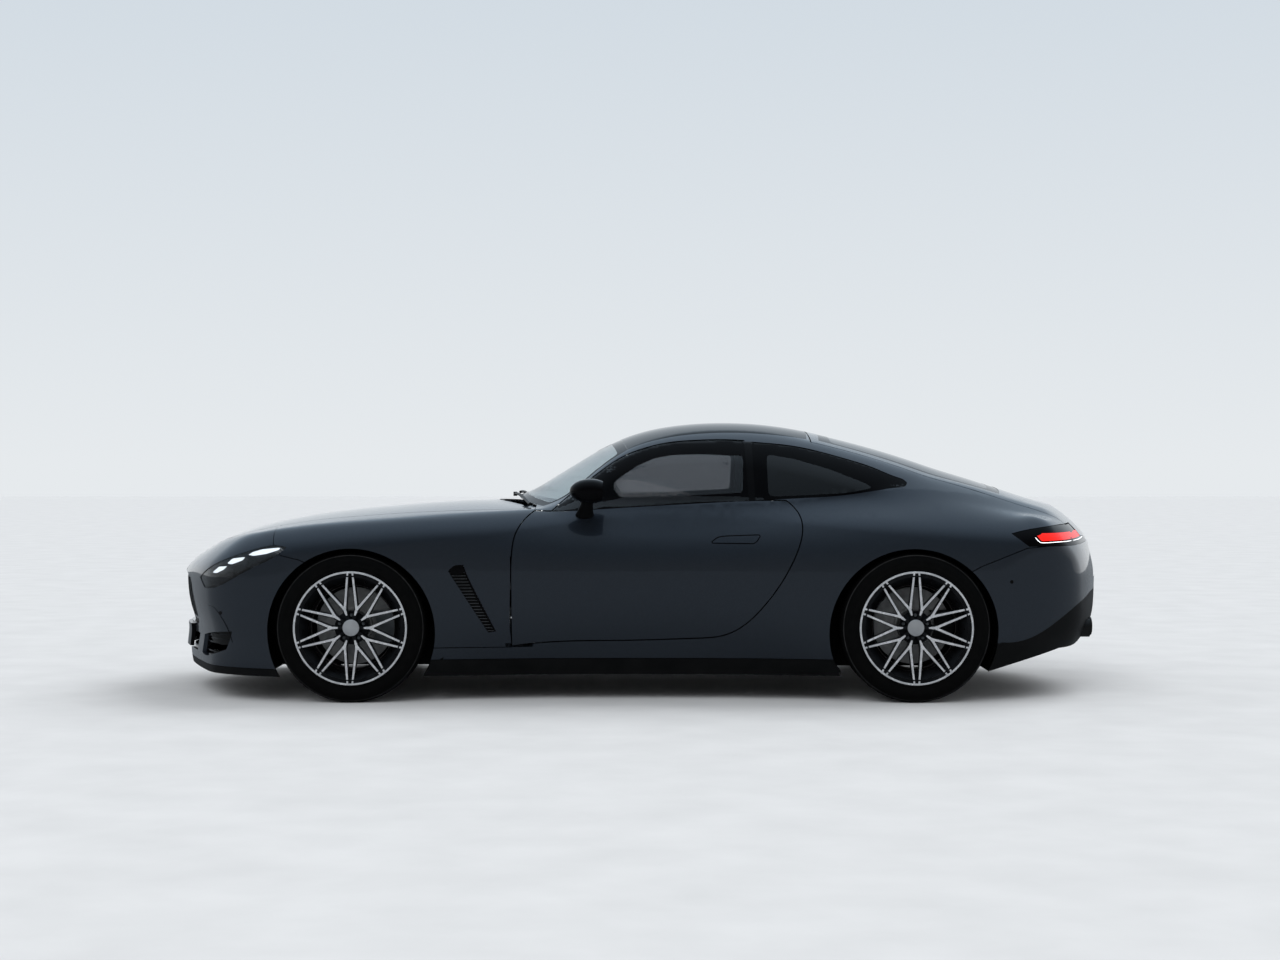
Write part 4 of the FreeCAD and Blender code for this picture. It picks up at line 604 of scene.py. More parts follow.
def stitchedLeather(name, light, dark):
    # dyed leather, embossed: pebbles 2.2 mm across, with painted shade darkening the valleys between them
    made, tree, shader, here = freshMaterial(name)
    pebbles = addNode(tree, "ShaderNodeTexVoronoi", {"feature": "DISTANCE_TO_EDGE"},
                      {"Scale": 1000 / 2.2}, here)
    # painted shade: the valleys between the pebbles are darker
    tint = ramp(tree, pebbles, "Distance", [(.0, dark), (.12, light)])
    relief = addNode(tree, "ShaderNodeBump", values={"Strength": .35, "Distance": .0004},
                     links={"Height": (pebbles, "Distance")})
    creases = addNode(tree, "ShaderNodeTexNoise", values={"Scale": 14.0, "Detail": 4.0}, links=here)
    rough = remapped(tree, creases, "Fac", (.38, .6))
    wire(tree, shader, {"Sheen Weight": .08},
         {"Base Color": (tint, "Color"), "Roughness": (rough, "Result"), "Normal": (relief, "Normal")})
    return made


def lightGuide(name, colour, bright, strength):
    # frosted acrylic rod lit from its end: it glows evenly, a little brighter in patches
    made, tree, shader, here = freshMaterial(name)
    cloud = addNode(tree, "ShaderNodeTexNoise", values={"Scale": 40.0}, links=here)
    tint = ramp(tree, cloud, "Fac", [(.3, colour), (.7, bright)])
    wire(tree, shader, {"Emission Color": linear(colour), "Emission Strength": strength, "Roughness": .25},
         {"Base Color": (tint, "Color")})
    return made


paint = {"dark": "#232A33", "light": "#363F4A", "rough": .34, "metallic": .8}
lacquer = metallicPaint()
# injection-moulded ABS polished like piano lacquer: nearly black, with clean reflections
glossAbs = surface("GlossBlackAbs", ["#030304", "#050506"], [.05, .09], grain=8.0, bump=.02, specular=.1)
# moulded polypropylene: spark-eroded grain, so it looks satin and a little grey
satinPlastic = surface("MouldedPolypropylene", ["#060708", "#0B0C0D"], [.42, .58], grain=1.4, bump=.35, ior=1.49,
                       specular=.18)
# the vent's mesh is the same plastic painted mid grey
greyPlastic = surface("GreyPaintedPlastic", ["#2F3134", "#3B3E42"], [.4, .55], grain=1.4, bump=.2, ior=1.49)
# rubberised wax sprayed on in drops: rough and dull
underseal = surface("SprayedUnderseal", ["#0A0B0C", "#111213"], [.7, .9], grain=5.0, bump=.6, depth=.0012,
                    specular=.3)
# clear moulded lens over the lamps: smooth, faintly grey
headlampClear = clearGlass("PolycarbonateLens", "#A9AEB2", 1.58, .1)
# laminated windscreen: the green of its interlayer only just shows
windscreenGlass = clearGlass("LaminatedGlass", "#DCE4E4", 1.5, .5)
# toughened door glass, tinted grey in its body
paleGlass = clearGlass("TemperedGlass", "#8F9194", 1.5, .15)
# privacy glass: dark enough to hide the rear seats
privacyGlass = clearGlass("PrivacyGlass", "#15181A", 1.5, .07)
# frit printed on the glass and fired: matt inside, glassy from outside
ceramicBand = surface("FiredCeramicBand", ["#020203", "#040405"], [.06, .12], grain=1.5, bump=.02, specular=.07)
# moulded lamp housing: black with a soft shine
lampBezel = surface("LampBezelPlastic", ["#030304", "#07080A"], [.18, .3], grain=3.0, bump=.05, specular=.2)
# aluminium vapour on plastic, thinned and lacquered grey: a dim mirror
smokedMirror = surface("SmokedReflector", ["#181B1F", "#30353B"], [.1, .2], metallic=.9, grain=6.0)
# frosted rods behind clear and red covers: even glow
whiteGuide = lightGuide("FrostedLightGuide", "#F3F6FA", "#FFFFFF", 2.6)
redGuide = lightGuide("RedLightGuide", "#E01508", "#E01508", .55)
# dyed hide, drawn with coarser pebbles than a real 1 mm so that a wide view shows them
leather = stitchedLeather("PebbledLeather", "#1A1919", "#0A0A0A")
# sand-cast iron, unpainted: coarse dark grain
castIron = surface("CastIron", ["#1E1F20", "#2B2B2C"], [.55, .75], metallic=.6, bump=.5, depth=.0008)
# die-cast aluminium: pale with a fine dull grain
castAluminium = surface("CastAluminium", ["#7C7F82", "#95989A"], [.35, .5], metallic=1.0, grain=1.6, bump=.3)
# chromium vapour behind the mirrors' glass: bright and clear
chrome = surface("BrightChrome", ["#C9CCD0", "#DDE0E3"], [.04, .1], metallic=1.0, grain=4.0, bump=.02)
# powder coat baked on steel: black, slightly pebbled
blackMetal = surface("PowderCoatedSteel", ["#0A0B0C", "#101112"], [.35, .5], grain=1.2, bump=.25, specular=.35)
# aluminium fins blackened and weathered
radiatorMetal = surface("OxidisedRadiator", ["#17181A", "#222325"], [.45, .6], metallic=.7, grain=3.0, bump=.4)
# silver lacquer on a plastic cap: pale, without a mirror's glint
satinSilver = surface("SatinSilverCap", ["#A4A8AC", "#B8BCC0"], [.3, .42], metallic=.6, grain=1.5, bump=.05)

# where each axle's wheels stand: x, out to the middle of the tyre, half the tyre's width
axles = {"front": {"x": -1.382, "y": .841, "half": .1475}, "rear": {"x": 1.318, "y": .8415, "half": .1525}}
axleHeight = .357
wheelLooks = {}
for end, place in axles.items():
    key, axle = end.title(), (place["x"], axleHeight)
    wheelLooks[end] = {
        # vulcanised rubber: mould rings 3 mm apart, with a painted highlight round the shoulder where the tread
        # blocks catch the light
        "rubber": turnedSurface("TyreRubber" + key, axle, ["#030303", "#060606"], [.72, .88], 0.0, 3.0, .25,
                                [(347, "#3A3B3C", 2.0), (300, "#070707", 9.0)]),
        # machined alloy: the lathe's tool lines 0.9 mm apart under lacquer, so it glints in rings
        "machined": turnedSurface("MachinedAlloy" + key, axle, ["#B9BDC2", "#DADDE1"], [.2, .32], .45, .9, .12),
        # painted alloy: the same casting lacquered dark grey
        "painted": turnedSurface("PaintedAlloy" + key, axle, ["#0D0E10", "#191B1E"], [.25, .4], .4, 30.0, .02),
        # brake iron: pads have turned rings 2.4 mm apart into it
        "disc": turnedSurface("TurnedBrakeDisc" + key, axle, ["#8B8D8F", "#A5A7A9"], [.3, .42], .3, 2.4, .4),
        # the barrel's steps, 12.5 mm apart, with a painted highlight along each step's edge
        "stepped": turnedSurface("SteppedBarrel" + key, axle, ["#0B0B0D", "#131315"], [.3, .45], .2, 12.5, .02,
                                 [(250 - 12.5 * k, "#6A6562", 1.6) for k in range(5)]),
    }
print("stage: materials")


def ringOfParts(name, material):
    # tree: Count copies of Part on a circle of that Radius about the line across the car through Centre,
    # the first turned by Phase
    tree = bpy.data.node_groups.new(name, "GeometryNodeTree")
    face = tree.interface
    for label, kind in (("Part", "NodeSocketObject"), ("Count", "NodeSocketInt"), ("Radius", "NodeSocketFloat"),
                        ("Phase", "NodeSocketFloat"), ("Centre", "NodeSocketVector")):
        face.new_socket(label, in_out="INPUT", socket_type=kind)
    face.new_socket("Geometry", in_out="OUTPUT", socket_type="NodeSocketGeometry")
    start = addNode(tree, "NodeGroupInput")
    points = addNode(tree, "GeometryNodePoints", links={"Count": (start, "Count")})
    index = addNode(tree, "GeometryNodeInputIndex")
    step = addNode(tree, "ShaderNodeMath", {"operation": "DIVIDE"}, {0: fullTurn}, {1: (start, "Count")})
    angle = addNode(tree, "ShaderNodeMath", {"operation": "MULTIPLY_ADD"},
                    links={0: (index, "Index"), 1: (step, "Value"), 2: (start, "Phase")})
    cosine = addNode(tree, "ShaderNodeMath", {"operation": "COSINE"}, links={0: (angle, "Value")})
    sine = addNode(tree, "ShaderNodeMath", {"operation": "SINE"}, links={0: (angle, "Value")})
    arm = addNode(tree, "ShaderNodeCombineXYZ", links={"X": (cosine, "Value"), "Z": (sine, "Value")})
    reach = addNode(tree, "ShaderNodeVectorMath", {"operation": "SCALE"},
                    links={0: (arm, "Vector"), "Scale": (start, "Radius")})
    spot = addNode(tree, "ShaderNodeVectorMath", {"operation": "ADD"},
                   links={0: (reach, "Vector"), 1: (start, "Centre")})
    placed = addNode(tree, "GeometryNodeSetPosition",
                     links={"Geometry": (points, 0), "Position": (spot, "Vector")})
    source = addNode(tree, "GeometryNodeObjectInfo", links={"Object": (start, "Part")})
    less = addNode(tree, "ShaderNodeMath", {"operation": "MULTIPLY"}, {1: -1.0}, {0: (angle, "Value")})
    turn = addNode(tree, "ShaderNodeCombineXYZ", links={"Y": (less, "Value")})
    many = addNode(tree, "GeometryNodeInstanceOnPoints", links={
        "Points": (placed, "Geometry"), "Instance": (source, "Geometry"), "Rotation": (turn, "Vector")})
    real = addNode(tree, "GeometryNodeRealizeInstances", links={"Geometry": (many, "Instances")})
    dressed = addNode(tree, "GeometryNodeSetMaterial", values={"Material": material},
                      links={"Geometry": (real, 0)})
    addNode(tree, "NodeGroupOutput", links={0: (dressed, 0)})
    return tree


def evaluated(piece):
    # the piece with its modifiers applied, as a plain mesh; the piece itself goes
    bpy.context.view_layer.update()
    ready = piece.evaluated_get(bpy.context.evaluated_depsgraph_get())
    mesh = bpy.data.meshes.new_from_object(ready)
    bpy.data.objects.remove(piece)
    return mesh


def grown(name, tree, inputs):
    # the tree's result as a plain mesh piece
    holder = linked(name, bpy.data.meshes.new(name))
    made = holder.modifiers.new("grow", "NODES")
    made.node_group = tree
    for item in tree.interface.items_tree:
        if item.in_out == "INPUT" and item.name in inputs:
            made[item.identifier] = inputs[item.name]
    holder.update_tag()
    piece = linked(name, evaluated(holder))
    shadeByAngle(piece.data)
    return piece


# painted panels and glass

for node in ("bonnet", "front_bumper", "front_fenders", "body_side_left", "body_side_right", "door_left",
             "door_right", "tailgate", "rear_bumper"):
    skinShaded(node, node + "_skin", lacquer)
skinShaded("roof_panel", "roof_panel_skin", glossAbs)
skinShaded("tail_lamps", "tail_lamps_skin", glossAbs)
skinShaded("lower_trim", "lower_trim_skin", satinPlastic)
for node, glass, slotName in (
        ("windscreen", windscreenGlass, "grey_glass"), ("door_window_left", paleGlass, "grey_glass"),
        ("door_window_right", paleGlass, "grey_glass"), ("quarter_windows", privacyGlass, "dark_glass"),
        ("rear_window", privacyGlass, "dark_glass"), ("headlamp_lenses", headlampClear, "clear_lens")):
    skinShaded(node, node + "_pane", glass)
print("stage: panels and glass")

# shares of length and height from the middle and the floor, except the panes, lines and seals in metres
sideGlass = {
    "door": [(-.0909, .6711), (-.0669, .7444), (-.0403, .8145), (-.0223, .858), (.0048, .8974), (.032, .9189),
             (.0591, .9266), (.0931, .9284), (.1085, .9255), (.1115, .7082), (.0581, .7002), (-.0086, .6869),
             (-.0532, .6769)],
    "quarter": [(.1165, .924), (.1271, .9211), (.161, .9085), (.1967, .8800), (.2204, .8562), (.2438, .8286),
                (.2669, .7953), (.2742, .7850), (.2772, .7745), (.2758, .7645), (.2700, .7580), (.2559, .7530),
                (.2176, .7330), (.17, .7200), (.1185, .7110)],
    "middlePost": [(.1085, .9255), (.1165, .924), (.1185, .7110), (.1115, .7082)],
    "pane": [(-.1275, 1.035), (-.1275, 1.0512), (-.0837, 1.0853), (-.0152, 1.1308), (.0678, 1.1676),
             (.1644, 1.1859), (.3164, 1.1898), (.5064, 1.1814), (.5008, 1.0011), (.1759, .9831), (-.0969, .9776),
             (-.1273, 1.0143)],
    "quarterPane": [(.622, 1.19), (.76, 1.165), (.93, 1.115), (1.08, 1.055), (1.14, 1.025), (1.02, 1.0),
                    (.80, .988), (.624, .982)],
    "postLine": [(.5475, 1.175), (.5505, 1.175), (.5447, .992), (.5417, .992)],
    "waistSeal": [(.548, .9612), (.62, .9650), (.700, .9690)], "waistSealRadius": .0045, "waistSealDepth": 16.0,
    "bandDepths": (2.3, 3.4), "postLineDepths": (1.9, 2.3), "postDepths": (-1.2, 1.0),
}


def sharesToMetres(rows):
    return [(x * length / 1000, z * height / 1000) for x, z in rows]


for sideName, side in twoSides:
    door = "door_" + sideName
    band = skinPatch("door_window_band_" + sideName, roundedLoop(sharesToMetres(sideGlass["door"]), .012),
                     sideGlass["bandDepths"], ceramicBand, [roundedLoop(sideGlass["pane"], .02)], side=side)
    seat(band, door)
    line = skinPatch("door_post_line_" + sideName, sideGlass["postLine"], sideGlass["postLineDepths"],
                     satinPlastic, side=side)
    seat(line, door)
    band = skinPatch("quarter_band_" + sideName, roundedLoop(sharesToMetres(sideGlass["quarter"]), .02),
                     sideGlass["bandDepths"], ceramicBand, [roundedLoop(sideGlass["quarterPane"], .03)],
                     side=side)
    seat(band, "body")
    waist = skinTube("waist_seal_" + sideName, openLine(sideGlass["waistSeal"]), sideGlass["waistSealDepth"],
                     side, sideGlass["waistSealRadius"], satinPlastic)
    seat(waist, "body")
    post = skinPatch("middle_post_" + sideName, sharesToMetres(sideGlass["middlePost"]),
                     sideGlass["postDepths"], glossAbs, side=side)
    seat(post, "body")

# left half rows seen from above: shares of length from the middle, shares of half the width
glassFromAbove = {
    "windscreen": [(-.1325, 0), (-.1290, .25), (-.1180, .48), (-.1005, .695), (-.070, .655), (-.040, .612),
                   (-.013, .560), (-.0185, .30), (-.0215, 0)],
    "windscreenPane": [(-.1235, 0), (-.1205, .25), (-.1100, .46), (-.0940, .655), (-.068, .625), (-.042, .587),
                       (-.0235, .545), (-.0285, .30), (-.0320, .07), (-.046, .06), (-.048, 0)],
    "rear_window": [(.1930, 0), (.1920, .25), (.1895, .455), (.26, .485), (.33, .515), (.3790, .515),
                    (.3860, .25), (.3870, 0)],
    "rear_windowPane": [(.2050, 0), (.2040, .23), (.2030, .415), (.26, .440), (.33, .468), (.3680, .470),
                        (.3740, .25), (.3750, 0)],
}


def wholeOutline(rows):
    # the left half and its mirror image, in metres
    left = [(x * length / 1000, -q * halfWidth / 1000) for x, q in rows]
    return left + [(x, -y) for x, y in reversed(left) if abs(y) > 1e-9]


for glass, body, radius in (("windscreen", "body", .03), ("rear_window", "tailgate", .05)):
    pane = roundedLoop(wholeOutline(glassFromAbove[glass + "Pane"]), radius)
    band = skinPatch(glass + "_band", wholeOutline(glassFromAbove[glass]), sideGlass["bandDepths"], ceramicBand,
                     [pane], step=.02, fromAbove=True)
    seat(band, body)
print("stage: glass bands")

# small parts of the sides: places and lengths in metres (x, z), but the vent's outline in shares of length
# and height; depths in millimetres below the skin

handle = {
    "outline": [(.3425, .7626), (.3765, .7868), (.4077, .7911), (.5784, .7976), (.5576, .7673), (.5441, .7606)],
    "gap": .005, "gapDepths": (-.25, 1.0), "proud": 4.0, "edgeRound": .0015,
}
for sideName, side in twoSides:
    loop = roundedLoop(handle["outline"], .012)
    # painted shade: a dark ring round the handle, standing for the shade in its gap
    gapShade = skinPatch("handle_gap_" + sideName, grownLoop(loop, handle["gap"]), handle["gapDepths"], glossAbs,
                       step=.008, side=side)
    seat(gapShade, "door_" + sideName)
    grip = skinPatch("handle_" + sideName, loop, (-handle["proud"], 0.0), lacquer, step=.008, side=side)
    soft = grip.modifiers.new("edge", "BEVEL")
    soft.width, soft.segments = handle["edgeRound"], 2
    soft.limit_method, soft.angle_limit = "ANGLE", math.radians(50)
    seat(grip, "door_" + sideName)

vent = {
    "outline": [(-.1940, .4650), (-.1787, .4873), (-.1745, .4467), (-.1460, .249), (-.1539, .2454)],
    "cap": [(-.915, .6330), (-.8860, .6560), (-.8480, .6600), (-.838, .6220), (-.875, .6060), (-.902, .6150)],
    "edge": [(-.842, .640), (-.822, .592), (-.780, .500), (-.728, .400), (-.694, .338)],
    "depths": (15.0, 19.0), "capDepths": (-1.2, 12.0), "edgeRadius": .0035,
    "slats": 22, "slatRadius": .0038, "slatDepth": 6.0, "slatMargin": .006,
}
for sideName, side in twoSides:
    loop = roundedLoop(sharesToMetres(vent["outline"]), .01)
    back = skinPatch("vent_back_" + sideName, grownLoop(loop, .004), vent["depths"], satinPlastic, step=.02,
                     side=side)
    seat(back, "body")
    inner = grownLoop(loop, -.001)
    levels = np.linspace(inner[:, 1].min() + vent["slatMargin"], inner[:, 1].max() - vent["slatMargin"],
                         vent["slats"])
    slats = levelSlats("vent_slats_" + sideName, inner, levels, 0.0, 4, vent["slatDepth"], side,
                       vent["slatRadius"], greyPlastic, 6)
    seat(slats, "body")
    cap = skinPatch("vent_cap_" + sideName, roundedLoop(vent["cap"], .012), vent["capDepths"], glossAbs,
                    step=.01, side=side)
    seat(cap, "body")
    rim = skinTube("vent_edge_" + sideName, openLine(vent["edge"]), 1.0, side, vent["edgeRadius"], glossAbs)
    seat(rim, "body")

sensor = {"places": [(1.7747, .577), (-2.03, .42)], "radius": .009, "depths": (-.3, 1.0)}
turn = np.linspace(0, fullTurn, 20, endpoint=False)
for sideName, side in twoSides:
    eyes = []
    for x, z in sensor["places"]:
        loop = np.stack([x + sensor["radius"] * np.cos(turn), z + sensor["radius"] * np.sin(turn)], 1)
        eyes.append(skinPatch("eye", loop, sensor["depths"], lampBezel, step=.006, side=side))
    seat(joined("parking_sensors_" + sideName, eyes), "body")

nose = {
    "line": [(-2.1857, .4465), (-2.1226, .4528), (-2.0654, .4436), (-2.018, .388), (-1.988, .3332),
             (-1.9677, .2789)],
    "lineRadius": .0016, "lineDepth": .6, "stripX": (-1.7765, -1.7595), "stripLow": .752, "stripWay": .688,
    "stripDepths": (-.25, 1.5),
}
intake = {
    "outline": [(-2.118, .366), (-2.060, .356), (-1.985, .352), (-1.950, .336), (-1.952, .292), (-1.978, .266),
                (-2.030, .262), (-2.100, .276)],
    "depths": (9.0, 13.0), "slats": [.290, .314, .338], "slatRadius": .0034, "slatDepth": 7.0, "slatInset": .004,
}
for sideName, side in twoSides:
    mouth = roundedLoop(intake["outline"], .012)
    back = skinPatch("intake_back_" + sideName, mouth, intake["depths"], satinPlastic, side=side)
    seat(back, "body")
    slats = levelSlats("intake_slats_" + sideName, mouth, intake["slats"], intake["slatInset"], 12,
                       intake["slatDepth"], side, intake["slatRadius"], glossAbs, 8)
    seat(slats, "body")
for sideName, side in twoSides:
    # painted shade: a dark bar along the nose's shut line, standing for the shade in the gap
    shadedSeam = skinTube("nose_line_" + sideName, openLine(nose["line"]), nose["lineDepth"], side,
                      nose["lineRadius"], lampBezel, 6)
    seat(shadedSeam, "body")
    # the strip ends on top where the fender meets the bonnet
    (fore, aft), low = nose["stripX"], nose["stripLow"]
    top = [float(skinZ(x, nose["stripWay"] * halfWidth / 1000)) for x in nose["stripX"]]
    strip = skinPatch("nose_strip_" + sideName, [(fore, low), (aft, low), (aft, top[1]), (fore, top[0])],
                      nose["stripDepths"], lacquer, step=.006, side=side)
    seat(strip, "body")
print("stage: handles and vents")

# lamps: outlines in metres, depths in millimetres below the skin

headlamp = {
    "blades": [[(-2.0745, .6134), (-2.0364, .6424), (-1.993, .6459), (-2.0138, .6281), (-2.051, .6117)],
               [(-1.9917, .6597), (-1.9645, .6833), (-1.8984, .692), (-1.912, .6761), (-1.9673, .6567)],
               [(-1.8819, .7032), (-1.8412, .7266), (-1.7202, .74), (-1.7288, .7282), (-1.7902, .7091),
                (-1.8533, .6991)]],
    "outline": [(-2.105, .5975), (-2.0566, .5447), (-1.9348, .5864), (-1.7513, .6992), (-1.6708, .7447),
                (-1.7452, .7529), (-1.862, .7332), (-2.0012, .6755)],
    "chin": [(-2.098, .592), (-2.056, .553), (-1.985, .575), (-1.995, .598), (-2.045, .588), (-2.080, .604)],
    "bladeDepths": (12.0, 22.0), "maskDepths": (34.0, 38.0), "chinDepths": (14.0, 30.0),
    "projectors": [(-1.952, .622, .020), (-1.890, .652, .018), (-1.835, .680, .015)], "projectorDepth": 30.0,
    "projectorRings": [(.0, 1), (.010, 1), (.010, .86), (.004, .78), (.009, .55), (.011, .25)],
}


def projector(x, z, radius, side):
    # stepped eye standing out of the lamp, turned forwards
    start = np.array([x, side * float(skinY(x, z, headlamp["projectorDepth"])), z])
    out = bodyNormal(start[None])[0] * .6 + np.array([-.8, 0, .05])
    out /= np.linalg.norm(out)
    across = np.cross(out, [0, 0, 1.0])
    across /= np.linalg.norm(across)
    other = np.cross(across, out)
    points = [start + out * lift + radius * share * (math.cos(a) * across + math.sin(a) * other)
              for lift, share in headlamp["projectorRings"] for a in turn]
    faces = ringFaces(len(headlamp["projectorRings"]), len(turn))
    return meshPiece("eye", points, faces, smokedMirror, 25)


for sideName, side in twoSides:
    blades = [skinPatch("blade", roundedLoop(loop, .006), headlamp["bladeDepths"], whiteGuide, step=.008,
                        side=side) for loop in headlamp["blades"]]
    seat(joined("light_blades_" + sideName, blades), "body")
    mask = skinPatch("lamp_mask_" + sideName, grownLoop(roundedLoop(headlamp["outline"], .01), -.004),
                     headlamp["maskDepths"], lampBezel, step=.015, side=side)
    seat(mask, "body")
    chin = skinPatch("lamp_chin_" + sideName, roundedLoop(headlamp["chin"], .006), headlamp["chinDepths"],
                     lampBezel, step=.008, side=side)
    seat(chin, "body")
    eyes = [projector(x, z, radius, side) for x, z, radius in headlamp["projectors"]]
    seat(joined("projectors_" + sideName, eyes), "body")

tailLamp = {
    "bar": [(1.8955, .8072), (2.24, .808), (2.26, .7813), (2.1482, .7763), (1.9263, .769)],
    "line": [(1.8960, .7870), (1.9120, .7700), (1.9343, .7620), (2.0245, .7645), (2.1753, .7670),
             (2.245, .772)],
    "barDepths": (1.2, 6.0), "lineDepth": 2.0, "lineRadius": .0011,
}
for sideName, side in twoSides:
    bar = skinPatch("tail_light_bar_" + sideName, roundedLoop(tailLamp["bar"], .01), tailLamp["barDepths"],
                    redGuide, side=side)
    seat(bar, "body")
    rod = skinTube("tail_light_line_" + sideName, openLine(tailLamp["line"]), tailLamp["lineDepth"], side,
                   tailLamp["lineRadius"], whiteGuide)
    seat(rod, "body")
print("stage: lamps")

# wheels: lengths in metres, angles in degrees; the rows of dish and valve are radius, distance out from edge

wheel = {
    "radius": .357, "pitches": 60, "grooves": (.079, .030, -.030, -.079), "grooveDepth": .007, "slotDepth": .005,
    "grooveHalves": (.0055, .0042), "slotShares": (0, .46, .915, .925, .99), "slotCuts": (0, 0, 0, 1, 1),
    "slotFrom": .036, "slotAbove": .3535, "blockLean": .5, "leanReach": .10,
    "dish": [(.044, -.024), (.2495, .006), (.2590, .0094)], "valve": [(.232, -.012), (.226, .004)],
    "joint": .092, "tip": .2495, "stemLength": .1765,
    "edgeInset": .011, "forks": 10, "forkSpread": 15.01, "spokePhase": 108, "plateLift": .0012, "chamfer": .0009,
    "bolts": 5, "boltCircle": .060, "boltPhase": 90, "boltInset": .029, "hubInset": .024,
    "ringInner": .2625, "ringLift": .0092, "valveAngle": 72, "barrelRadius": .2605, "barrelInset": .034,
    "barrelSteps": 5, "stepDown": .0125, "stepIn": .016,
}


def tyreSection(half):
    # outer half section from the bead to the tread's edge: radius, distance along the axle
    return [(.2545, half - .024), (.2722, half - .0145), (.2740, half - .0050), (.2790, half - .0032),
            (.2835, half - .0046), (.2900, half - .0026), (.2955, half - .0016), (.2962, half - .0006),
            (.2985, half - .0006), (.2992, half - .0014), (.3060, half - .0004), (.3140, half),
            (.3230, half - .0012), (.3310, half - .0042), (.3375, half - .0082), (.3383, half - .0078),
            (.3400, half - .0090), (.3450, half - .0135), (.3500, half - .0200), (.3535, half - .0275),
            (.3556, half - .0360), (.3566, half - .0440)]


def makeTyre(name, x, y, half, material):
    # tyre with four grooves round it and slanted slots that cut its shoulders into blocks
    outer = tyreSection(half)
    tread, deep = [], wheel["radius"] - wheel["grooveDepth"]
    mouth, floor = wheel["grooveHalves"]
    for middle in wheel["grooves"]:
        tread += [(wheel["radius"], middle + mouth), (deep, middle + floor), (deep, middle - floor),
                  (wheel["radius"], middle - mouth)]
    rows = outer + tread + [(r, -a) for r, a in reversed(outer)]
    radius, along = np.array(rows).T
    step = fullTurn / wheel["pitches"]
    angles = np.array([(k + s) * step for k in range(wheel["pitches"]) for s in wheel["slotShares"]])
    cut = np.array([c for _ in range(wheel["pitches"]) for c in wheel["slotCuts"]])
    slotted = (np.abs(along) > wheel["slotFrom"]) & (radius > wheel["slotAbove"])
    reach = radius[None, :] - wheel["slotDepth"] * cut[:, None] * slotted[None, :]
    turned = angles[:, None] + wheel["blockLean"] * np.minimum(np.abs(along), wheel["leanReach"])[None, :]
    points = np.stack([x + reach * np.cos(turned), np.broadcast_to(y + along, reach.shape),
                       axleHeight + reach * np.sin(turned)], -1).reshape(-1, 3)
    return meshPiece(name, points, ringFaces(*reach.shape, True), material, 32)


def dishHeight(radius, edge):
    # how far out the spokes' fronts stand at a radius
    places, lifts = zip(*wheel["dish"])
    return edge + np.interp(radius, places, lifts)


def spokePlate(edge, material):
    # machined front of one forked spoke, pointing along +X, thin, with a small chamfer
    spread = math.radians(wheel["forkSpread"])
    joint = np.array([wheel["joint"], 0.0])
    tip = wheel["tip"] * np.array([math.cos(spread), math.sin(spread)])
    way = (tip - joint) / np.linalg.norm(tip - joint)
    normal = np.array([-way[1], way[0]])
    end = joint + way * wheel["stemLength"]
    upper = [(.0620, .0036), (.0830, .0066), joint + normal * .0072 - way * .003,
             joint + normal * .0060 + way * .014, end + normal * .0044, end - normal * .0044,
             joint - normal * .0056 + way * .030, (.1100, .0020)]
    loop = [np.array(p, float) for p in upper] + [np.array([p[0], -p[1]]) for p in reversed(upper)]
    loop = densified(np.array(loop), .02)
    inner = grownLoop(loop, -wheel["chamfer"])
    edges = [(i, (i + 1) % len(inner)) for i in range(len(inner))]
    result = geometry.delaunay_2d_cdt([Vector(p) for p in inner], edges, [], 0, 1e-7)
    flat = np.array([tuple(v) for v in result[0]])
    faces = np.array([f for f in result[2]])
    faces = faces[insideLoop(flat[faces].mean(1), inner)]

    def level(points, extra):
        out = dishHeight(np.hypot(points[:, 0], points[:, 1]), edge) + extra
        return np.stack([points[:, 0], out, points[:, 1]], 1)

    lift = wheel["plateLift"]
    points = np.vstack([level(flat, lift), level(loop, lift - wheel["chamfer"]), level(loop, -.003)])
    n, m = len(flat), len(loop)
    allFaces = [tuple(f) for f in faces]
    for i in range(m):
        j = (i + 1) % m
        allFaces += [(i, j, n + j, n + i), (n + i, n + j, n + m + j, n + m + i)]
    allFaces.append(tuple(range(n + m, n + 2 * m)))
    return meshPiece("spoke_front", points, allFaces, material, 25)


def hexBolt(reach, material):
    # flanged wheel bolt along +Y with a chamfered head
    rows = [(0.0, 1, .0085), (.004, 1, .0085), (.0041, .87, .0072), (.0135, .87, .0072), (.0150, .87, .0060)]
    points = []
    for up, flats, r in rows:
        for k in range(12):
            radius, a = r * (flats if k % 2 else 1), k * fullTurn / 12
            points.append((radius * math.cos(a), reach + up, radius * math.sin(a)))
    return meshPiece("bolt", points, ringFaces(len(rows), 12), material, 25)


def latheRing(name, rows, x, y, out, material, steps=144):
    # closed section (radius, outward distance) turned about the axle, out is -1 for the left side
    angles = np.linspace(0, fullTurn, steps, endpoint=False)
    radius, along = np.array(rows).T
    points = np.stack([x + np.outer(np.cos(angles), radius), np.full((steps, len(radius)), y) + out * along,
                       axleHeight + np.outer(np.sin(angles), radius)], -1).reshape(-1, 3)
    return meshPiece(name, points, ringFaces(steps, len(rows), True), material, 28)


def movedToWheel(piece, x, y, out):
    # a part grown facing +Y about the origin, turned to face out and moved to the wheel
    if out < 0:
        piece.data.transform(Matrix.Scale(-1, 4, (0, 1, 0)))
        piece.data.flip_normals()
    piece.data.transform(Matrix.Translation((x, y, axleHeight)))
    piece.data.update()
    return turnOut(piece, 25)


def grownParts(name, tree, part, count, radius, phase, x, y, out):
    # count copies of the part about the wheel's middle; the part itself goes
    piece = grown(name, tree, {"Part": part, "Count": count, "Radius": radius, "Phase": math.radians(phase),
                               "Centre": (0.0, 0.0, 0.0)})
    bpy.data.objects.remove(part)
    return movedToWheel(piece, x, y, out)


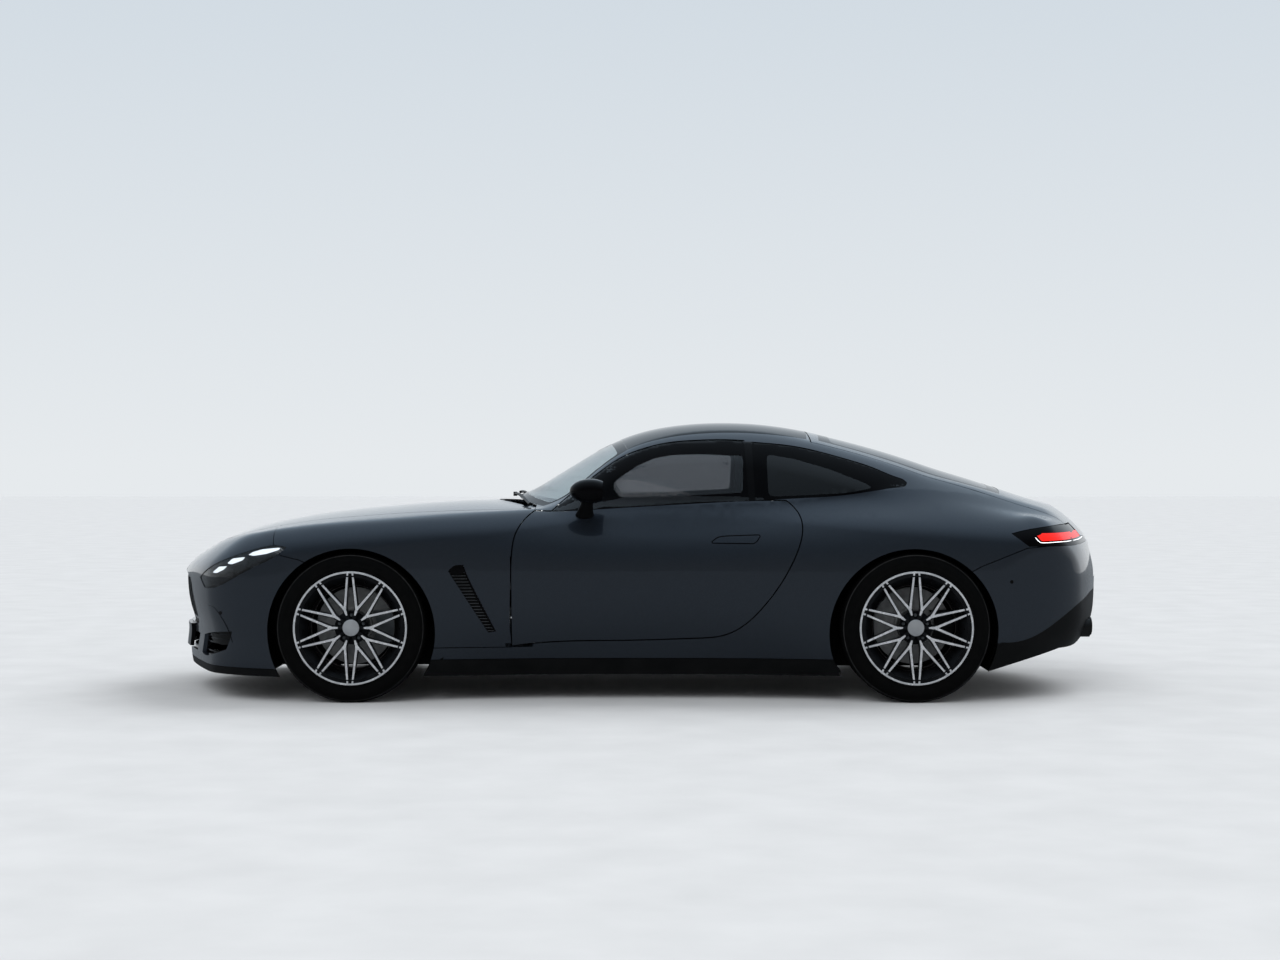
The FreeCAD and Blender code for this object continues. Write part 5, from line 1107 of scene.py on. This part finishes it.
def dressWheel(end, sideName, side, trees):
    # tread, casting, machined fronts, bolts, ring, hub cap, valve and barrel steps of one wheel
    looks, place = wheelLooks[end], axles[end]
    x, y, half = place["x"], side * place["y"], place["half"]
    edge = half - wheel["edgeInset"]
    hub, rim = edge - wheel["hubInset"], edge + wheel["ringLift"]
    tag, body = end + "_" + sideName, "wheel_" + end + "_" + sideName
    seat(makeTyre("tyre_" + tag + "_tread", x, y, half, looks["rubber"]), body, ["tyre_" + tag])
    casting = mergedCopy("rim_" + tag)
    shadeByAngle(casting, 24)
    seat(linked("rim_" + tag + "_casting", casting, [looks["painted"]]), body, ["rim_" + tag])
    fronts = grownParts("spoke_fronts_" + tag, trees["spokes"], spokePlate(edge, looks["machined"]),
                        wheel["forks"], 0.0, wheel["spokePhase"], x, y, side)
    heads = grownParts("wheel_bolts_" + tag, trees["bolts"], hexBolt(hub - wheel["boltInset"], castAluminium),
                       wheel["bolts"], wheel["boltCircle"], wheel["boltPhase"], x, y, side)
    inner = wheel["ringInner"]
    ring = latheRing("rim_ring_" + tag, [
        (inner, rim - .003), (inner, rim - .0007), (inner + .001, rim), (.2705, rim), (.2717, rim - .001),
        (.2717, rim - .003)], x, y, side, looks["machined"])
    cap = latheRing("hub_cap_" + tag, [
        (.0003, hub - .006), (.0003, hub + .0075), (.012, hub + .0070), (.024, hub + .0055),
        (.0325, hub + .0030), (.0332, hub + .0038), (.0365, hub + .0032), (.0395, hub + .0012),
        (.0402, hub - .006)],
        x, y, side, satinSilver, 72)
    valveWay = math.radians(wheel["valveAngle"])
    stem = [(x + r * math.cos(valveWay), y + side * (edge + lift), axleHeight + r * math.sin(valveWay))
            for r, lift in wheel["valve"]]
    valve = tube("valve_" + tag, stem, .0032, satinPlastic)
    start = edge - wheel["barrelInset"]
    steps = [(wheel["barrelRadius"], start)]
    for k in range(wheel["barrelSteps"]):
        r, deep = wheel["barrelRadius"] - wheel["stepDown"] * k, start - wheel["stepIn"] * k
        steps += [(r - .0105, deep - .003), (r - wheel["stepDown"], deep - wheel["stepIn"])]
    steps += [(steps[-1][0] + .003, steps[-1][1] - .002), (.2615, edge - .040)]
    barrel = latheRing("barrel_steps_" + tag, steps, x, y, side, looks["stepped"], 96)
    for piece in (fronts, heads, ring, cap, barrel):
        seat(piece, body)
    seat(valve, body)


for end in axles:
    trees = {"spokes": ringOfParts("SpokeFronts" + end.title(), wheelLooks[end]["machined"]),
             "bolts": ringOfParts("WheelBolts" + end.title(), castAluminium)}
    for sideName, side in twoSides:
        dressWheel(end, sideName, side, trees)
print("stage: wheels")

# finishes of the construction's own nodes
plainNodes = {
    "grille": glossAbs, "headlamps": lampBezel, "underbody": underseal, "bulkheads": castIron,
    "arch_liners": underseal, "dashboard": leather, "steering_wheel": leather, "engine_block": castAluminium,
    "radiator": radiatorMetal, "suspension": castIron, "wipers": blackMetal, "exhaust": blackMetal,
    "knuckle_left": castAluminium, "knuckle_right": castAluminium,
}
for end in axles:
    for sideName, side in twoSides:
        plainNodes["disc_" + end + "_" + sideName] = wheelLooks[end]["disc"]
for node, made in plainNodes.items():
    target = frame["nodes"][node].data
    target.materials.clear()
    target.materials.append(made)

# door mirrors: an ellipsoid cut off behind, in metres; the foot's rows are x, out, z, half width, half height
mirror = {
    "centre": (-.2364, .9672, 1.0114), "half": (.100, .095, .059), "cut": .060, "square": .85,
    "foot": [(-.268, .000, .893, .046, .018), (-.267, .012, .899, .043, .01575), (-.263, .035, .918, .036, .012),
             (-.256, .070, .944, .030, .01275), (-.248, .105, .975, .030, .0165)],
    "footSink": .006, "around": 40,
    "glassInset": .010, "glassThick": .003, "glassShare": .9,
    "repeaterDrop": -.024, "repeaterArc": (62, 235), "repeaterRadius": .0022,
}


def mirrorHousing(name, side):
    # shell of the head, open behind for its glass, on a swept foot
    (cx, cy, cz), (ax, ay, az), cut = mirror["centre"], mirror["half"], mirror["cut"]
    stations = -ax * np.cos(np.linspace(.04, math.acos(-cut / ax), 16))
    rows = [(s, math.sqrt(1 - (s / ax)**2)) for s in stations]
    last = rows[-1][1]
    rows += [(cut - .0015, last * .95), (cut - .012, last * .92)]
    around = np.linspace(0, fullTurn, mirror["around"], endpoint=False)
    cos, sin = np.cos(around), np.sin(around)
    flatY = np.sign(cos) * np.abs(cos)**mirror["square"]
    flatZ = np.sign(sin) * np.abs(sin)**mirror["square"]
    head = np.vstack([np.stack([cx + s + 0 * cos, side * cy + ay * share * flatY, cz + az * share * flatZ], 1)
                      for s, share in rows])
    shell = meshPiece("head", head, ringFaces(len(rows), mirror["around"]), glossAbs, 40)
    start = float(skinY(mirror["foot"][0][0], mirror["foot"][0][2])) - mirror["footSink"]
    points = np.vstack([np.stack([x + wide * cos, side * (start + out - lean * sin), z + lean * sin], 1)
                        for x, out, z, wide, lean in mirror["foot"]])
    foot = meshPiece("foot", points, ringFaces(len(mirror["foot"]), mirror["around"]), satinPlastic, 50)
    return joined(name, [shell, foot])


for sideName, side in twoSides:
    door = "door_" + sideName
    (cx, cy, cz), (ax, ay, az), cut = mirror["centre"], mirror["half"], mirror["cut"]
    seat(mirrorHousing("mirror_housing_" + sideName, side), door, ["mirror_" + sideName])
    share = math.sqrt(1 - (cut / ax)**2) * mirror["glassShare"]
    points = [(cx + cut - mirror["glassInset"] + deep, side * cy + ay * share * math.cos(a),
               cz + az * share * math.sin(a)) for deep in (0.0, mirror["glassThick"]) for a in turn]
    glass = meshPiece("mirror_glass_" + sideName, points, ringFaces(2, len(turn)), chrome)
    seat(glass, door)
    drop = mirror["repeaterDrop"]
    share = math.sqrt(1 - (drop / az)**2)
    arc = [(cx + ax * share * math.cos(a), side * cy + side * ay * share * math.sin(a), cz + drop)
           for a in np.linspace(*np.radians(mirror["repeaterArc"]), 40)]
    strip = tube("mirror_repeater_" + sideName, arc, mirror["repeaterRadius"], smokedMirror, 8)
    seat(strip, door)
print("stage: mirrors")

# seats: lengths in metres; insetShare, channelPitch and the two widths are shares of half a seat's width
seatFacts = {
    "voxel": .010, "edgeRound": .035, "smoothing": .6, "passes": 12, "insetShare": .66,
    "channelPitch": .22, "channelWidth": .022, "channelDepth": .006, "seamWidth": .025, "seamDepth": .008,
    "hollow": .014,
}


def softSeat(source, name, material):
    # one seat: its block rounded by remeshing and smoothing, then hollowed and sewn into channels
    b = bmesh.new()
    b.from_mesh(source)
    bmesh.ops.bevel(b, geom=[e for e in b.edges if e.calc_face_angle(0) > .5], offset=seatFacts["edgeRound"],
                    segments=3, profile=.5, affect="EDGES", clamp_overlap=True)
    mesh = bpy.data.meshes.new(name)
    b.to_mesh(mesh)
    b.free()
    piece = linked(name, mesh)
    remesh = piece.modifiers.new("remesh", "REMESH")
    remesh.mode, remesh.voxel_size = "VOXEL", seatFacts["voxel"]
    smoothing = piece.modifiers.new("smooth", "SMOOTH")
    smoothing.factor, smoothing.iterations = seatFacts["smoothing"], seatFacts["passes"]
    ready = evaluated(piece)
    points, normals = readOff(ready.vertices, "co", 3), readOff(ready.vertices, "normal", 3)
    low, high = points.min(0), points.max(0)
    middle, halfSpan = (low[1] + high[1]) / 2, (high[1] - low[1]) / 2
    across = (points[:, 1] - middle) / halfSpan
    front = np.clip(-normals[:, 0] * 1.4, 0, 1) + np.clip(normals[:, 2] * 1.2, 0, 1)
    front = np.clip(front, 0, 1) * (np.abs(normals[:, 1]) < .75)
    inset, pitch = seatFacts["insetShare"], seatFacts["channelPitch"]
    wave = sum(np.exp(-((across - k * pitch) / seatFacts["channelWidth"])**2) for k in range(-2, 3))
    channels = seatFacts["channelDepth"] * np.where(np.abs(across) < inset, np.clip(wave, 0, 1), 0)
    seams = seatFacts["seamDepth"] * np.exp(-((np.abs(across) - inset) / seatFacts["seamWidth"])**2)
    hollow = seatFacts["hollow"] * np.clip(1 - (across / inset)**2, 0, 1)
    shift = -front * (channels + seams + hollow)
    points = np.clip(points + normals * shift[:, None], low, high)
    ready.vertices.foreach_set("co", points.reshape(-1))
    ready.materials.clear()
    ready.polygons.foreach_set("use_smooth", np.ones(len(ready.polygons), bool))
    return linked(name, ready, [material])


def looseParts(mesh):
    # the mesh's separate solids as meshes
    b = bmesh.new()
    b.from_mesh(mesh)
    seen, groups = set(), []
    for first in b.verts:
        if first.index in seen:
            continue
        group, waiting = [], [first]
        seen.add(first.index)
        while waiting:
            vertex = waiting.pop()
            group.append(vertex)
            for edge in vertex.link_edges:
                other = edge.other_vert(vertex)
                if other.index not in seen:
                    seen.add(other.index)
                    waiting.append(other)
        groups.append(sorted(group, key=lambda v: v.index))
    out = []
    for group in groups:
        number = {v.index: i for i, v in enumerate(group)}
        faces = [[number[v.index] for v in f.verts] for f in b.faces if f.verts[0].index in number]
        part = bpy.data.meshes.new("part")
        part.from_pydata([tuple(v.co) for v in group], [], faces)
        out.append(part)
    b.free()
    return out


nodesStoodInFor = ["seats"]
for part in looseParts(mergedCopy("seats")):
    rowName = "front" if min(v.co.x for v in part.vertices) < .5 else "rear"
    name = "seat_" + rowName + ("_left" if sum(v.co.y for v in part.vertices) < 0 else "_right")
    piece = seat(softSeat(part, name, leather), "body", nodesStoodInFor)
    nodesStoodInFor = []
print("stage: seats")

# studio: a pale floor and sky, as in the photo; the suns are name, place, strength, width in degrees
studio = {
    "floor": ["#CBCED1", "#D2D5D8"], "horizon": "#E6EAED", "zenith": "#B4C6D6", "skyLight": .72,
    "reflectedNear": .17, "reflectedFar": 1.0, "mirroredFloor": "#6C7176",
    "suns": [("front_sun", (-.35, -.80, .75), .9, 40), ("back_sun", (.55, .45, .75), 1.5, 40)],
    "lens": 58.95, "distance": 10.97, "eye": 1.145, "shift": -17 / 1280,
}


def makeFloor():
    mesh = bpy.data.meshes.new("floor")
    mesh.from_pydata([(-60, -60, 0), (60, -60, 0), (60, 60, 0), (-60, 60, 0)], [], [(0, 1, 2, 3)])
    # matt painted concrete: faint clouds of dust
    made, tree, shader, here = freshMaterial("PaleStudioFloor")
    dust = addNode(tree, "ShaderNodeTexNoise", values={"Scale": 3.0, "Detail": 5.0}, links=here)
    tint = ramp(tree, dust, "Fac", [(.3, studio["floor"][0]), (.7, studio["floor"][1])])
    # the paint mirrors a darker floor than the camera sees
    ray = addNode(tree, "ShaderNodeLightPath")
    shade = addNode(tree, "ShaderNodeMix", {"data_type": "RGBA"}, {7: linear(studio["mirroredFloor"])},
                    {0: (ray, "Is Glossy Ray"), 6: (tint, "Color")})
    wire(tree, shader, {"Roughness": .85, "Specular IOR Level": .1}, {"Base Color": (shade, 2)})
    linked("floor", mesh, [made])


def makeSky():
    world = bpy.data.worlds.new("studio")
    bpy.context.scene.world = world
    world.use_nodes = True
    tree = world.node_tree
    tree.nodes.clear()
    ray = addNode(tree, "ShaderNodeLightPath")
    way = addNode(tree, "ShaderNodeTexCoord")
    parts = addNode(tree, "ShaderNodeSeparateXYZ", links={"Vector": (way, "Generated")})
    tint = ramp(tree, parts, "Z", [(.0, studio["horizon"]), (.5, studio["zenith"])])
    # reflections are darker on the photo's side, as in open country with the light behind the car
    upAndAway = addNode(tree, "ShaderNodeMath", {"operation": "ADD"}, links={0: (parts, "Y"), 1: (parts, "Z")})
    facing = addNode(tree, "ShaderNodeMapRange", {"interpolation_type": "SMOOTHSTEP"},
                     {"From Min": -.5, "From Max": 1.1, "To Min": studio["reflectedNear"],
                      "To Max": studio["reflectedFar"]}, {"Value": (upAndAway, "Value")})
    light = addNode(tree, "ShaderNodeBackground",
                    values={"Color": linear("#FFFFFF"), "Strength": studio["skyLight"]})
    seen = addNode(tree, "ShaderNodeBackground", values={"Strength": 1.0}, links={"Color": (tint, "Color")})
    mirrored = addNode(tree, "ShaderNodeBackground",
                       links={"Color": (tint, "Color"), "Strength": (facing, "Result")})
    direct = addNode(tree, "ShaderNodeMath", {"operation": "MAXIMUM"},
                     links={0: (ray, "Is Camera Ray"), 1: (ray, "Is Transmission Ray")})
    first = addNode(tree, "ShaderNodeMixShader",
                    links={0: (ray, "Is Glossy Ray"), 1: (light, 0), 2: (mirrored, 0)})
    mixed = addNode(tree, "ShaderNodeMixShader", links={0: (direct, "Value"), 1: (first, 0), 2: (seen, 0)})
    addNode(tree, "ShaderNodeOutputWorld", links={"Surface": (mixed, 0)})


def makeSunsAndCamera():
    for name, place, power, wide in studio["suns"]:
        lamp = bpy.data.lights.new(name, "SUN")
        lamp.energy, lamp.angle = power, math.radians(wide)
        holder = linked(name, lamp)
        holder.location = Vector(place) * 10
        holder.rotation_euler = (-Vector(place)).to_track_quat("-Z", "Y").to_euler()
        holder.visible_glossy = False
    camera = bpy.data.cameras.new("camera")
    camera.sensor_width, camera.lens, camera.shift_y = 36.0, studio["lens"], studio["shift"]
    camera.clip_end = 200
    holder = linked("camera", camera)
    holder.location = (0, -studio["distance"], studio["eye"])
    holder.rotation_euler = (math.radians(90), 0, 0)
    bpy.context.scene.camera = holder


makeFloor()
makeSky()
makeSunsAndCamera()
bpy.context.scene.view_settings.view_transform = "Standard"
print("stage: finished")
